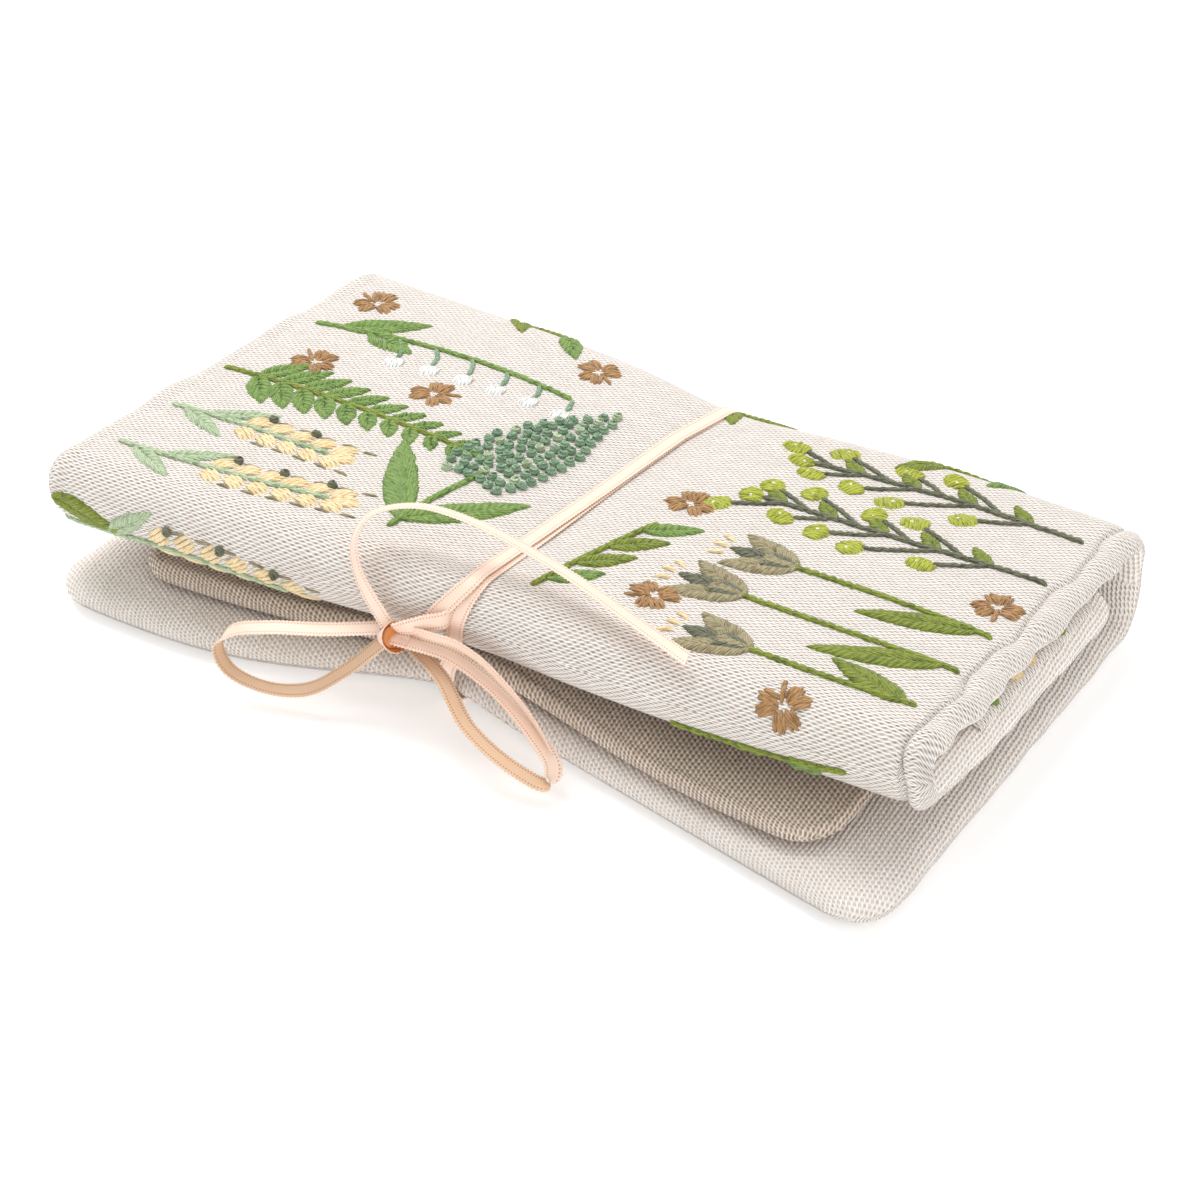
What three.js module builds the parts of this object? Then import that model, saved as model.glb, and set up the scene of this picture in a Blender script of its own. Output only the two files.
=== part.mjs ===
import * as THREE from 'three';

// Needle book, folded shut and tied with a ribbon. Millimetres, +Z up, folds along X, front at -Y.
// The pieces are laid out square first, with y = 0 on the spine's outer face, and then settled into the
// soft shape that the ribbon gives them.

// Cover strip
const LENGTH = 190;
const BACK_DEPTH = 115;
const FRONT_DEPTH = 105;
const FLAP_DEPTH = 81.5;
const HEIGHT = 30;
const PAD = 5.5;
const CLOTH = 0.8;
const GAP = 0.3;
const RIM_ROLL = 6;
const SPINE_RADIUS = 8;
const FOLD_RADIUS = 7.5;
const COVER_CORNER = 11;
const FLAP_CORNER = 9;
const SEAM_ALLOWANCE = 4;
const SEAM_INSET = 5;
const SEAM_DIP = 0.5;
const SEAM_REACH = 1.6;
const CREASE_GAP_ANGLE = 0.06;

// Pocket sewn on the flap's inner face
const POCKET_MARGIN = 5;
const POCKET_DEPTH = 53;

// Needle leaf
const LEAF_LENGTH = 160;
const LEAF_DEPTH = 95.5;
const LEAF_BACK_INSET = 11;
const LEAF_CLOTH = 0.7;
const LEAF_FELT = 1.0;
const LEAF_RISE = 1.2;
const LEAF_CORNER = 10;
const LEAF_RIM_ROLL = 3;
const FELT_INSET = 3;

// Front edges drawn in by the ribbon
const BACK_DRAWN_IN = 18;
const BACK_DRAWN_REACH = 34;
const LEAF_DRAWN_BEHIND = 1.5;
const LEAF_DRAWN_REACH = 40;

// Ribbon
const RIBBON_WIDTH = 3.5;
const RIBBON_THICK = 0.35;
const RIBBON_BACK_X = 4;
const RIBBON_SLANT = 0.105;
const TURN_SPREAD = 1.9;
const TURN_PART_Y = -40;
const TURN_BOW = 4.9;
const TURN_BOW_FROM_Y = -30;
const TURN_BOW_FULL_Y = -90;
const TURN_END = THREE.MathUtils.degToRad(206);
const TURN_GAP_ANGLE = 0.06;
const DROP_EDGE_CLEARANCE = 1.3;
const DROP_CORNER_CLEARANCE = 0.9;
const KNOT_CENTRE = new THREE.Vector3(-13, -105, 19);
const KNOT_RADII = new THREE.Vector3(3.0, 2.2, 2.6);

// Soft settling of the tied book
const WEDGE_BACK = -0.133;
const WEDGE_FRONT = 0.113;
const FOLD_SKEW = 7;
const PINCH_BACK = 5;
const PINCH_BACK_X = 9;
const PINCH_BACK_DEPTH = 45;
const PINCH_FRONT = 2.5;
const PINCH_FRONT_DEPTH = 30;
const PINCH_FRONT_X = -6;
const PINCH_REACH = 30;
const SQUEEZE_FLOOR = 1.4;
const SQUEEZE_TOP = 1.2;
const SQUEEZE_REACH = 11;

// Places that follow from the sizes
const HALF_PAD = PAD / 2;
const HALF_LENGTH = LENGTH / 2;
const RIM_HALF = CLOTH + GAP / 2;
const SPINE_MID = SPINE_RADIUS - HALF_PAD;
const FOLD_MID = FOLD_RADIUS - HALF_PAD;
const FOLD_FRONT_Y = -FRONT_DEPTH;
const FOLD_Y = FOLD_FRONT_Y + FOLD_RADIUS;
const FOLD_Z = HEIGHT - FOLD_RADIUS;
const FLAP_Z = FOLD_Z - FOLD_MID;
const FLAP_END_Y = FOLD_Y + FLAP_DEPTH;
const SPINE_TOP_Z = HEIGHT - SPINE_RADIUS;
const BACK_DRAWN_Y = BACK_DRAWN_IN - BACK_DEPTH;
const LEAF_HALF = LEAF_FELT / 2 + GAP + LEAF_CLOTH;
const LEAF_RIM_HALF = LEAF_CLOTH + GAP / 2;
const LEAF_SEWN_Z = PAD + GAP + LEAF_HALF;
const LEAF_Z = LEAF_SEWN_Z + LEAF_RISE;
const LEAF_BACK_Y = -LEAF_BACK_INSET;
const LEAF_DRAWN_Y = BACK_DRAWN_Y + LEAF_DRAWN_BEHIND;
const LEAF_DRAWN_IN = LEAF_DRAWN_Y - LEAF_BACK_Y + LEAF_DEPTH;
const UPPER_FROM_Z = LEAF_Z + LEAF_HALF;
const UPPER_TO_Z = FLAP_Z - HALF_PAD;
const FRAME_SHIFT_Y = BACK_DEPTH / 2;

function bell(distance, reach) {
  return Math.exp(-((distance / reach) ** 2));
}

function ribbonX(y) {
  return RIBBON_BACK_X + RIBBON_SLANT * y;
}

// Moves a point of the square layout to its place in the tied, soft book.
function settle(x, y, z) {
  const toFront = y / FOLD_FRONT_Y;
  const raised = z * (1 + WEDGE_BACK + (WEDGE_FRONT - WEDGE_BACK) * toFront);
  const upper = THREE.MathUtils.smoothstep(z, UPPER_FROM_Z, UPPER_TO_Z);
  const backWeight = THREE.MathUtils.smoothstep(y, -PINCH_BACK_DEPTH, 0);
  const frontWeight = 1 - THREE.MathUtils.smoothstep(y, FOLD_FRONT_Y, FOLD_FRONT_Y + PINCH_FRONT_DEPTH);
  const pinchBack = PINCH_BACK * bell(x - PINCH_BACK_X, PINCH_REACH) * backWeight;
  const pinchFront = PINCH_FRONT * bell(x - PINCH_FRONT_X, PINCH_REACH) * frontWeight * upper;
  const squeeze = bell(x - ribbonX(y), SQUEEZE_REACH);
  const squeezed = raised + squeeze * (SQUEEZE_FLOOR - ((SQUEEZE_FLOOR + SQUEEZE_TOP) * z) / HEIGHT);
  const skew = FOLD_SKEW * (x / HALF_LENGTH) * toFront * upper;
  return new THREE.Vector3(x, y + skew - pinchBack + pinchFront, squeezed);
}

function backFrontY(x) {
  const ribbonAt = ribbonX(BACK_DRAWN_Y);
  const leftShare = 1 - bell(Math.min(x - ribbonAt, 0), BACK_DRAWN_REACH);
  const rightShare = Math.max(x - ribbonAt, 0) / (HALF_LENGTH - ribbonAt);
  return BACK_DRAWN_Y - BACK_DRAWN_IN * (leftShare + rightShare);
}

function leafFrontY(x) {
  return LEAF_DRAWN_Y - LEAF_DRAWN_IN * (1 - bell(x - ribbonX(LEAF_DRAWN_Y), LEAF_DRAWN_REACH));
}

// A station is one line across the section: its place for a given x, its outward normal, its distance from
// the nearest free edge and the half length of the piece there.
function flatStation(placeY, z, normalZ, free, halfLength) {
  return { at: (x) => ({ y: placeY(x), z }), ny: 0, nz: normalZ, free, halfLength };
}

function uprightStation(z) {
  return { at: () => ({ y: -HALF_PAD, z }), ny: 1, nz: 0, free: Infinity, halfLength: HALF_LENGTH };
}

function arcStations(centreY, centreZ, radius, from, to, steps) {
  const stations = [];
  for (let i = 0; i <= steps; i += 1) {
    const angle = from + ((to - from) * i) / steps;
    const ny = Math.cos(angle);
    const nz = Math.sin(angle);
    const place = { y: centreY + radius * ny, z: centreZ + radius * nz };
    stations.push({ at: () => place, ny, nz, free: Infinity, halfLength: HALF_LENGTH });
  }
  return stations;
}

// Half length of a piece with rounded corners, at a distance from its cornered edge.
function roundedHalfLength(halfLength, corner, distance) {
  const inside = Math.max(corner - distance, 0);
  return halfLength - corner + Math.sqrt(corner ** 2 - inside ** 2);
}

function rolledHalf(distance, fullHalf, rimHalf, roll) {
  const near = Math.min(distance / roll, 1);
  return rimHalf + (fullHalf - rimHalf) * Math.sqrt(1 - (1 - near) ** 2);
}

// Columns across the length: shares of the way from the ribbon to an end, then insets from that end.
const COLUMN_SHARES = [0.025, 0.1, 0.27, 0.6];
const END_INSETS = [SEAM_INSET + SEAM_REACH, SEAM_INSET, SEAM_INSET - SEAM_REACH, RIM_ROLL / 4, 0];
const SIDE_COLUMNS = [
  ...COLUMN_SHARES.map((share) => ({ share, inset: 0 })),
  ...END_INSETS.map((inset) => ({ share: 1, inset })),
];
const COLUMNS = [
  ...SIDE_COLUMNS.map((column) => ({ ...column, side: -1 })).reverse(),
  { share: 0, inset: 0, side: 1 },
  ...SIDE_COLUMNS.map((column) => ({ ...column, side: 1 })),
];

function columnX(column, middle, halfLength) {
  return middle + column.share * (column.side * halfLength - middle) - column.side * column.inset;
}

// Closed solid between two offsets from a line of stations.
function slabGeometry(columns, stations, placeX, lowOf, highOf) {
  const positions = [];
  const rows = columns.length;
  const lines = stations.length;
  const count = rows * lines;
  for (const offsetOf of [highOf, lowOf]) {
    for (const column of columns) {
      for (const station of stations) {
        const x = placeX(column, station);
        const place = station.at(x);
        const offset = offsetOf(x, station);
        const point = settle(x, place.y + station.ny * offset, place.z + station.nz * offset);
        positions.push(point.x, point.y, point.z);
      }
    }
  }
  const index = [];
  const high = (i, j) => i * lines + j;
  for (let i = 0; i + 1 < rows; i += 1) {
    for (let j = 0; j + 1 < lines; j += 1) {
      const [a, b, c, d] = [high(i, j), high(i, j + 1), high(i + 1, j), high(i + 1, j + 1)];
      index.push(a, b, c, b, d, c);
      index.push(count + a, count + c, count + b, count + b, count + c, count + d);
    }
  }
  const loop = [];
  for (let j = 0; j < lines; j += 1) loop.push(high(0, j));
  for (let i = 1; i < rows; i += 1) loop.push(high(i, lines - 1));
  for (let j = lines - 2; j >= 0; j -= 1) loop.push(high(rows - 1, j));
  for (let i = rows - 2; i > 0; i -= 1) loop.push(high(i, 0));
  loop.forEach((p, k) => {
    const q = loop[(k + 1) % loop.length];
    index.push(q, p, count + p, q, count + p, count + q);
  });
  const geometry = new THREE.BufferGeometry();
  geometry.setAttribute('position', new THREE.Float32BufferAttribute(positions, 3));
  geometry.setIndex(index);
  geometry.translate(0, FRAME_SHIFT_Y, 0);
  return geometry;
}

function panelX(column, station) {
  return columnX(column, ribbonX(station.at(0).y), station.halfLength);
}

// Outer cloth, padding and lining of one padded panel.
function paddedPanel(stations, inner) {
  const halfAt = (x, station) => {
    const distance = Math.min(station.free, station.halfLength - Math.abs(x));
    return rolledHalf(Math.max(distance, 0), HALF_PAD, RIM_HALF, RIM_ROLL);
  };
  const innerFace = (x, station) => -halfAt(x, station);
  const outerFace = (x, station) => {
    const half = halfAt(x, station);
    const fullness = (half - RIM_HALF) / (HALF_PAD - RIM_HALF);
    const fromSeam = station.halfLength - Math.abs(x) - SEAM_INSET;
    return half - SEAM_DIP * fullness * bell(fromSeam, SEAM_REACH);
  };
  const paddingLow = (x, station) => innerFace(x, station) + CLOTH + GAP;
  const paddingHigh = (x, station) => outerFace(x, station) - CLOTH - GAP;
  const insetX = (column, station) =>
    columnX(column, ribbonX(station.at(0).y), station.halfLength - SEAM_ALLOWANCE);
  return {
    outer: slabGeometry(COLUMNS, stations, panelX, (x, s) => outerFace(x, s) - CLOTH, outerFace),
    padding: slabGeometry(COLUMNS, inner, insetX, paddingLow, paddingHigh),
    lining: slabGeometry(COLUMNS, stations, panelX, innerFace, (x, s) => innerFace(x, s) + CLOTH),
  };
}

// Stations of each panel, in order along the strip from the back cover's front edge.
const QUARTER = Math.PI / 2;
const MITRE = Math.PI / 4;
const CREASE_STEPS = 2;
const FOLD_STEPS = 8;
const RIM_STEPS = [0, 0.2, 0.6].map((share) => share * RIM_ROLL);
const LEAF_RIM_STEPS = [0, 0.33, 1].map((share) => share * LEAF_RIM_ROLL);
const PADDING_STEPS = [SEAM_ALLOWANCE];
const CORNER_SHARE = 0.75;
const FLAT_SHARES = [0.27, 0.55, 0.8];
const COARSE_SHARES = [0, 0.3, 0.65];
const LEAF_DIP_SHARE = 0.6;

function crease(centreZ, from, to) {
  return arcStations(-SPINE_RADIUS, centreZ, SPINE_MID, from, to, CREASE_STEPS);
}

function backStations(rimSteps) {
  const backY = -SPINE_RADIUS;
  const nominal = BACK_DEPTH - SPINE_RADIUS;
  const steps = [...rimSteps, CORNER_SHARE * COVER_CORNER, ...FLAT_SHARES.map((share) => share * nominal)];
  const flat = steps.map((distance) => {
    const placeY = (x) => THREE.MathUtils.lerp(backFrontY(x), backY, distance / nominal);
    const halfLength = roundedHalfLength(HALF_LENGTH, COVER_CORNER, distance);
    return flatStation(placeY, HALF_PAD, -1, distance, halfLength);
  });
  return [...flat, ...crease(SPINE_RADIUS, -QUARTER, -MITRE - CREASE_GAP_ANGLE)];
}

function spineStations() {
  const low = crease(SPINE_RADIUS, -MITRE + CREASE_GAP_ANGLE, 0);
  const top = crease(SPINE_TOP_Z, 0, MITRE - CREASE_GAP_ANGLE);
  return [...low, uprightStation(HEIGHT / 2), ...top];
}

function frontStations(foldEnd) {
  const top = crease(SPINE_TOP_Z, MITRE + CREASE_GAP_ANGLE, QUARTER);
  const flat = FLAT_SHARES.map((share) => {
    const y = THREE.MathUtils.lerp(-SPINE_RADIUS, FOLD_Y, share);
    return flatStation(() => y, HEIGHT - HALF_PAD, 1, Infinity, HALF_LENGTH);
  });
  const fold = arcStations(FOLD_Y, FOLD_Z, FOLD_MID, QUARTER, foldEnd, FOLD_STEPS);
  return [...top, ...flat, ...fold];
}

function flapStations(rimSteps) {
  const nominal = FLAP_DEPTH - GAP;
  const flat = FLAT_SHARES.map((share) => share * nominal);
  const steps = [...rimSteps, CORNER_SHARE * FLAP_CORNER, ...flat, nominal];
  return steps.reverse().map((distance) => {
    const halfLength = roundedHalfLength(HALF_LENGTH, FLAP_CORNER, distance);
    return flatStation(() => FLAP_END_Y - distance, FLAP_Z, -1, distance, halfLength);
  });
}

function leafStations(rimSteps) {
  const nominal = LEAF_DEPTH - LEAF_DRAWN_IN;
  const flat = FLAT_SHARES.map((share) => share * nominal);
  const steps = [...rimSteps, CORNER_SHARE * LEAF_CORNER, ...flat, nominal];
  return steps.map((distance) => {
    const share = distance / nominal;
    const placeY = (x) => THREE.MathUtils.lerp(leafFrontY(x), LEAF_BACK_Y, share);
    const z = THREE.MathUtils.lerp(LEAF_Z, LEAF_SEWN_Z, THREE.MathUtils.smoothstep(share, LEAF_DIP_SHARE, 1));
    const halfLength = roundedHalfLength(LEAF_LENGTH / 2, LEAF_CORNER, distance);
    return flatStation(placeY, z, -1, distance, halfLength);
  });
}

const group = new THREE.Group();

const OUTER_LINEN = { color: '#e6dfd4', roughness: 0.92 };
const PLAIN_LINEN = { color: '#d3c9bb', roughness: 0.95 };
const WADDING = { color: '#f3f0e8', roughness: 1 };
const FELT = { color: '#e8e0cf', roughness: 1 };
const SATIN = { color: '#f4cfb2', roughness: 0.42 };

function addNode(name, geometry, finish) {
  geometry.computeVertexNormals();
  const material = new THREE.MeshStandardMaterial({ ...finish, metalness: 0 });
  const mesh = new THREE.Mesh(geometry, material);
  mesh.name = name;
  group.add(mesh);
}

function addPadded(name, panel) {
  addNode(`${name}_outer`, panel.outer, OUTER_LINEN);
  addNode(`${name}_padding`, panel.padding, WADDING);
  addNode(`${name}_lining`, panel.lining, PLAIN_LINEN);
}

const WHOLE_FOLD = 3 * QUARTER;
addPadded('back', paddedPanel(backStations(RIM_STEPS), backStations(PADDING_STEPS)));
addPadded('spine', paddedPanel(spineStations(), spineStations()));
addPadded('front', paddedPanel(frontStations(WHOLE_FOLD), frontStations(WHOLE_FOLD)));
addPadded('flap', paddedPanel(flapStations(RIM_STEPS), flapStations(PADDING_STEPS)));

// Pocket on the flap's inner face, sewn on three sides and open to the front.
function pocketGeometry() {
  const backY = FLAP_END_Y - POCKET_MARGIN - RIM_ROLL;
  const halfLength = HALF_LENGTH - POCKET_MARGIN - RIM_ROLL;
  const stations = [...COARSE_SHARES, 1].map((share) => {
    const y = backY - (1 - share) * POCKET_DEPTH;
    return flatStation(() => y, FLAP_Z, -1, Infinity, halfLength);
  });
  const underside = -HALF_PAD - GAP;
  return slabGeometry(COLUMNS, stations, panelX, () => underside - CLOTH, () => underside);
}

addNode('flap_pocket', pocketGeometry(), OUTER_LINEN);

// Needle leaf: felt between two linen faces.
function addLeaf() {
  const stations = leafStations(LEAF_RIM_STEPS);
  const core = leafStations([FELT_INSET]);
  const halfAt = (x, station) => {
    const distance = Math.min(station.free, station.halfLength - Math.abs(x));
    return rolledHalf(Math.max(distance, 0), LEAF_HALF, LEAF_RIM_HALF, LEAF_RIM_ROLL);
  };
  const coreX = (column, station) =>
    columnX(column, ribbonX(station.at(0).y), station.halfLength - FELT_INSET);
  const lower = slabGeometry(COLUMNS, stations, panelX, (x, s) => halfAt(x, s) - LEAF_CLOTH, halfAt);
  const topOf = (x, station) => -halfAt(x, station);
  const upper = slabGeometry(COLUMNS, stations, panelX, topOf, (x, s) => LEAF_CLOTH + topOf(x, s));
  const felt = slabGeometry(COLUMNS, core, coreX, () => -LEAF_FELT / 2, () => LEAF_FELT / 2);
  addNode('leaf_upper', upper, PLAIN_LINEN);
  addNode('leaf_felt', felt, FELT);
  addNode('leaf_lower', lower, PLAIN_LINEN);
}

addLeaf();

// Ribbon stretches that lie on the cover, one layer each.
const STRIP_COLUMNS = [-1, 0, 1];
const DROP_SHARES = [0, 0.3, 0.6, 1];
const DROP_TURN_SHARES = [0.17, 0.35, 0.65, 1];
const LOOP_STEPS = 44;
const KNOT_SEGMENTS = 16;
const KNOT_RINGS = 10;

function layerOffset(layer) {
  return HALF_PAD + GAP + layer * (RIBBON_THICK + GAP);
}

function lyingRibbon(stations, layer, spreadAt) {
  const low = layerOffset(layer);
  const placeX = (column, station) => {
    const y = station.at(0).y;
    return ribbonX(y) + spreadAt(y) + (column * RIBBON_WIDTH) / 2;
  };
  return slabGeometry(STRIP_COLUMNS, stations, placeX, () => low, () => low + RIBBON_THICK);
}

// The two turns part towards the front: one runs to the knot, the other on down the fold.
function spread(y) {
  return TURN_SPREAD * THREE.MathUtils.smoothstep(-y, -TURN_PART_Y, -FOLD_Y);
}

// Both turns bow to the right over the front cover and come back to the ribbon's line down the fold.
function bow(y) {
  const out = THREE.MathUtils.smoothstep(-y, -TURN_BOW_FROM_Y, -TURN_BOW_FULL_Y);
  const back = THREE.MathUtils.smoothstep(-y, -FOLD_Y, FOLD_MID - FOLD_Y);
  return TURN_BOW * out * (1 - back);
}

function underStations() {
  const startY = BACK_DRAWN_Y + RIM_ROLL;
  const flat = COARSE_SHARES.map((share) => {
    const y = THREE.MathUtils.lerp(startY, -SPINE_RADIUS, share);
    return flatStation(() => y, HALF_PAD, -1, Infinity, HALF_LENGTH);
  });
  return [...flat, ...crease(SPINE_RADIUS, -QUARTER, -MITRE - CREASE_GAP_ANGLE)];
}

addNode('ribbon_turn_knot', lyingRibbon(frontStations(TURN_END), 0, (y) => bow(y) - spread(y)), SATIN);
addNode('ribbon_turn_drop', lyingRibbon(frontStations(TURN_END), 1, (y) => bow(y) + spread(y)), SATIN);
addNode('ribbon_spine', lyingRibbon(spineStations(), 0, () => 0), SATIN);
addNode('ribbon_under', lyingRibbon(underStations(), 0, () => 0), SATIN);
addNode('ribbon_drop', dropGeometry(), SATIN);

// The drop runs straight from the fold to the back cover's front edge and turns under it.
function dropGeometry() {
  const angle = TURN_END + TURN_GAP_ANGLE;
  const radius = FOLD_MID + layerOffset(1) + RIBBON_THICK / 2;
  const top = { y: FOLD_Y + radius * Math.cos(angle), z: FOLD_Z + radius * Math.sin(angle) };
  const edgeY = BACK_DRAWN_Y - DROP_EDGE_CLEARANCE;
  const endY = BACK_DRAWN_Y + RIM_ROLL - GAP;
  const half = RIBBON_THICK / 2;
  const lean = Math.atan2(top.z - HALF_PAD, edgeY - top.y) + QUARTER;
  const straight = DROP_SHARES.map((share) => {
    const y = THREE.MathUtils.lerp(top.y, edgeY, share);
    const place = { y, z: THREE.MathUtils.lerp(top.z, HALF_PAD, share) };
    return { at: () => place, ny: Math.cos(lean), nz: -Math.sin(lean) };
  });
  const turned = DROP_TURN_SHARES.map((share) => {
    const turn = Math.sqrt(share) * QUARTER;
    const y = THREE.MathUtils.lerp(edgeY, endY, share);
    const rim = rolledHalf(Math.max(y - BACK_DRAWN_Y, 0), HALF_PAD, RIM_HALF, RIM_ROLL);
    const place = { y, z: HALF_PAD - rim - THREE.MathUtils.lerp(DROP_CORNER_CLEARANCE, GAP + half, share) };
    return { at: () => place, ny: -Math.cos(turn), nz: -Math.sin(turn) };
  });
  const placeX = (column, station) => {
    const y = station.at(0).y;
    const apart = TURN_SPREAD * THREE.MathUtils.smoothstep(-y, -edgeY, -top.y);
    return ribbonX(y) + apart + (column * RIBBON_WIDTH) / 2;
  };
  return slabGeometry(STRIP_COLUMNS, [...straight, ...turned], placeX, () => -half, () => half);
}

function smoothCurve(points) {
  return new THREE.CatmullRomCurve3(points.map((p) => new THREE.Vector3(...p)), false, 'centripetal');
}

// Flat strip along a curve, with its width turned the given way at each route point.
function stripGeometry(route, widthWays, steps) {
  const path = smoothCurve(route);
  const ways = smoothCurve(widthWays);
  const positions = [];
  const index = [];
  for (let i = 0; i <= steps; i += 1) {
    const t = i / steps;
    const centre = path.getPoint(t);
    const along = path.getTangent(t);
    const across = ways.getPoint(t);
    across.addScaledVector(along, -across.dot(along)).normalize();
    const face = new THREE.Vector3().crossVectors(along, across);
    for (const [w, f] of [[-1, -1], [1, -1], [1, 1], [-1, 1]]) {
      const corner = centre.clone();
      corner.addScaledVector(across, (w * RIBBON_WIDTH) / 2);
      corner.addScaledVector(face, (f * RIBBON_THICK) / 2);
      positions.push(corner.x, corner.y, corner.z);
    }
  }
  for (let i = 0; i < steps; i += 1) {
    for (let k = 0; k < 4; k += 1) {
      const a = 4 * i + k;
      const b = 4 * i + ((k + 1) % 4);
      index.push(a, b, a + 4, b, b + 4, a + 4);
    }
  }
  const last = 4 * steps;
  index.push(0, 2, 1, 0, 3, 2, last, last + 1, last + 2, last, last + 2, last + 3);
  const geometry = new THREE.BufferGeometry();
  geometry.setAttribute('position', new THREE.Float32BufferAttribute(positions, 3));
  geometry.setIndex(index);
  geometry.translate(0, FRAME_SHIFT_Y, 0);
  return geometry;
}

// Routes of the two loops and the two tails, in the settled book.
const LEFT_LOOP_ROUTE = [
  [-16.6, -105.8, 19.4], [-26, -110.6, 18.2], [-37, -115.2, 17], [-44, -117.4, 14.6], [-46.3, -118.6, 11],
  [-43.6, -119.2, 7], [-36.2, -117.6, 4.6], [-28, -114.6, 5.6], [-21.6, -110.4, 10.4], [-15.4, -106.8, 17.3],
];
const LEFT_LOOP_WAYS = [
  [0.45, -0.87, -0.2], [0.45, -0.87, -0.2], [0.4, -0.9, -0.22], [0.35, -0.9, -0.25], [0.05, -1, 0],
  [0.1, -1, 0], [0.28, -0.95, -0.05], [0.5, -0.83, -0.25], [0.65, -0.7, -0.28], [0.7, -0.65, -0.3],
];

const RIGHT_LOOP_ROUTE = [
  [-9.3, -106.7, 19.7], [-0.7, -105.4, 19.2], [9.6, -105.4, 15.6], [19.4, -107.2, 10.4], [25, -109.2, 6.4],
  [25.4, -111.6, 4], [19.4, -113.2, 5.8], [8, -112.2, 10.2], [-1.3, -107.6, 15.2], [-9.4, -105.2, 17.6],
];
const RIGHT_LOOP_WAYS = [
  [0.15, -1, -0.2], [0, -1, -0.15], [-0.13, -1, 0], [-0.25, -1, 0], [-0.3, -0.95, 0.05],
  [0.1, -1, -0.1], [0, -1, 0], [-0.15, -1, 0.1], [-0.2, -1, 0.15], [-0.2, -1, 0.1],
];

const LEFT_TAIL_ROUTE = [
  [-14.2, -106.5, 21.2], [-17.6, -107.4, 27.2], [-20.8, -107, 32.8], [-23, -104.2, 37], [-22.4, -99.8, 40],
  [-16, -94.6, 41.4], [-5, -92.4, 41], [15.6, -93.6, 38.8], [35.4, -97.6, 36.6], [47.6, -100.2, 35.2],
];
const LEFT_TAIL_WAYS = [
  [0.75, 0.1, 0.65], [0.83, 0, 0.55], [0.8, -0.25, 0.5], [0.75, -0.4, 0.5], [0.65, -0.68, 0.35],
  [0.35, -0.9, 0.28], [0.05, -0.95, 0.3], [-0.1, -0.95, 0.25], [-0.18, -0.97, 0.18], [-0.2, -0.98, 0.05],
];

const RIGHT_TAIL_ROUTE = [
  [-10.2, -105.8, 21.6], [-5, -106, 22.3], [0.5, -105.2, 22.1], [6, -105.2, 20.7],
  [11, -105.6, 18.2], [16, -106.2, 15.2], [20.5, -107.2, 12], [24, -108.4, 8.9],
];
const RIGHT_TAIL_WAYS = [
  [0, -0.95, 0.2], [0, -0.97, 0.25], [0, -0.97, 0.25], [-0.05, -0.97, 0.25],
  [-0.1, -0.97, 0.2], [-0.15, -0.97, 0.15], [-0.2, -0.95, 0.1], [-0.25, -0.95, 0.05],
];

function knotGeometry() {
  const geometry = new THREE.SphereGeometry(1, KNOT_SEGMENTS, KNOT_RINGS);
  geometry.scale(KNOT_RADII.x, KNOT_RADII.y, KNOT_RADII.z);
  geometry.translate(KNOT_CENTRE.x, KNOT_CENTRE.y + FRAME_SHIFT_Y, KNOT_CENTRE.z);
  return geometry;
}

addNode('ribbon_knot', knotGeometry(), SATIN);
addNode('ribbon_loop_left', stripGeometry(LEFT_LOOP_ROUTE, LEFT_LOOP_WAYS, LOOP_STEPS), SATIN);
addNode('ribbon_loop_right', stripGeometry(RIGHT_LOOP_ROUTE, RIGHT_LOOP_WAYS, LOOP_STEPS), SATIN);
addNode('ribbon_tail_left', stripGeometry(LEFT_TAIL_ROUTE, LEFT_TAIL_WAYS, LOOP_STEPS), SATIN);
addNode('ribbon_tail_right', stripGeometry(RIGHT_TAIL_ROUTE, RIGHT_TAIL_WAYS, LOOP_STEPS), SATIN);

export default group;
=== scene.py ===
import math

import bmesh
import bpy
import numpy as np
from mathutils import Matrix, Vector


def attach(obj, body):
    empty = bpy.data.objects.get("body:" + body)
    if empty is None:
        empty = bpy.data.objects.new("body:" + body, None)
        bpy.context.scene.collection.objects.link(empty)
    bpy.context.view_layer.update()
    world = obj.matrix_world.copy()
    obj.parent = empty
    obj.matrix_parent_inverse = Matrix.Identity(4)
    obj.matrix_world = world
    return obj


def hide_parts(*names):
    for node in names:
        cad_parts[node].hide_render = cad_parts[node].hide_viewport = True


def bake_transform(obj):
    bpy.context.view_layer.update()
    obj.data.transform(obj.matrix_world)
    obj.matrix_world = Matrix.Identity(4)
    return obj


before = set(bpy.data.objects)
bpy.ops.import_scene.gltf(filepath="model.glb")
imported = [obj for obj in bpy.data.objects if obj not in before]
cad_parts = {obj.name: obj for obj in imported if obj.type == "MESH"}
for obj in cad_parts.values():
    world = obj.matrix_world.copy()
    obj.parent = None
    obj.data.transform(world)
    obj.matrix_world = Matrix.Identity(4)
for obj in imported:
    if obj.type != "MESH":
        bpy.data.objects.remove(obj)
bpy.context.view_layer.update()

# Needle book, folded shut and tied with a ribbon. Sizes are in millimetres in the book's own layout, with
# y = 0 on the spine's outer face, and go to metres in the part's frame at the end.
MM = 0.001

# Cover strip
LENGTH = 190.0
BACK_DEPTH = 115.0
FRONT_DEPTH = 105.0
FLAP_DEPTH = 81.5
HEIGHT = 30.0
PAD = 5.5
RIM_ROLL = 6.0
SPINE_RADIUS = 8.0
FOLD_RADIUS = 7.5
COVER_CORNER = 11.0
FLAP_CORNER = 9.0
FLAP_SHIFT = 1.5
SLIP_EASE = 20.0
UNDERSIDE_PRESS = 0.55
UNDERSIDE_EASE = 14.0

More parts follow.
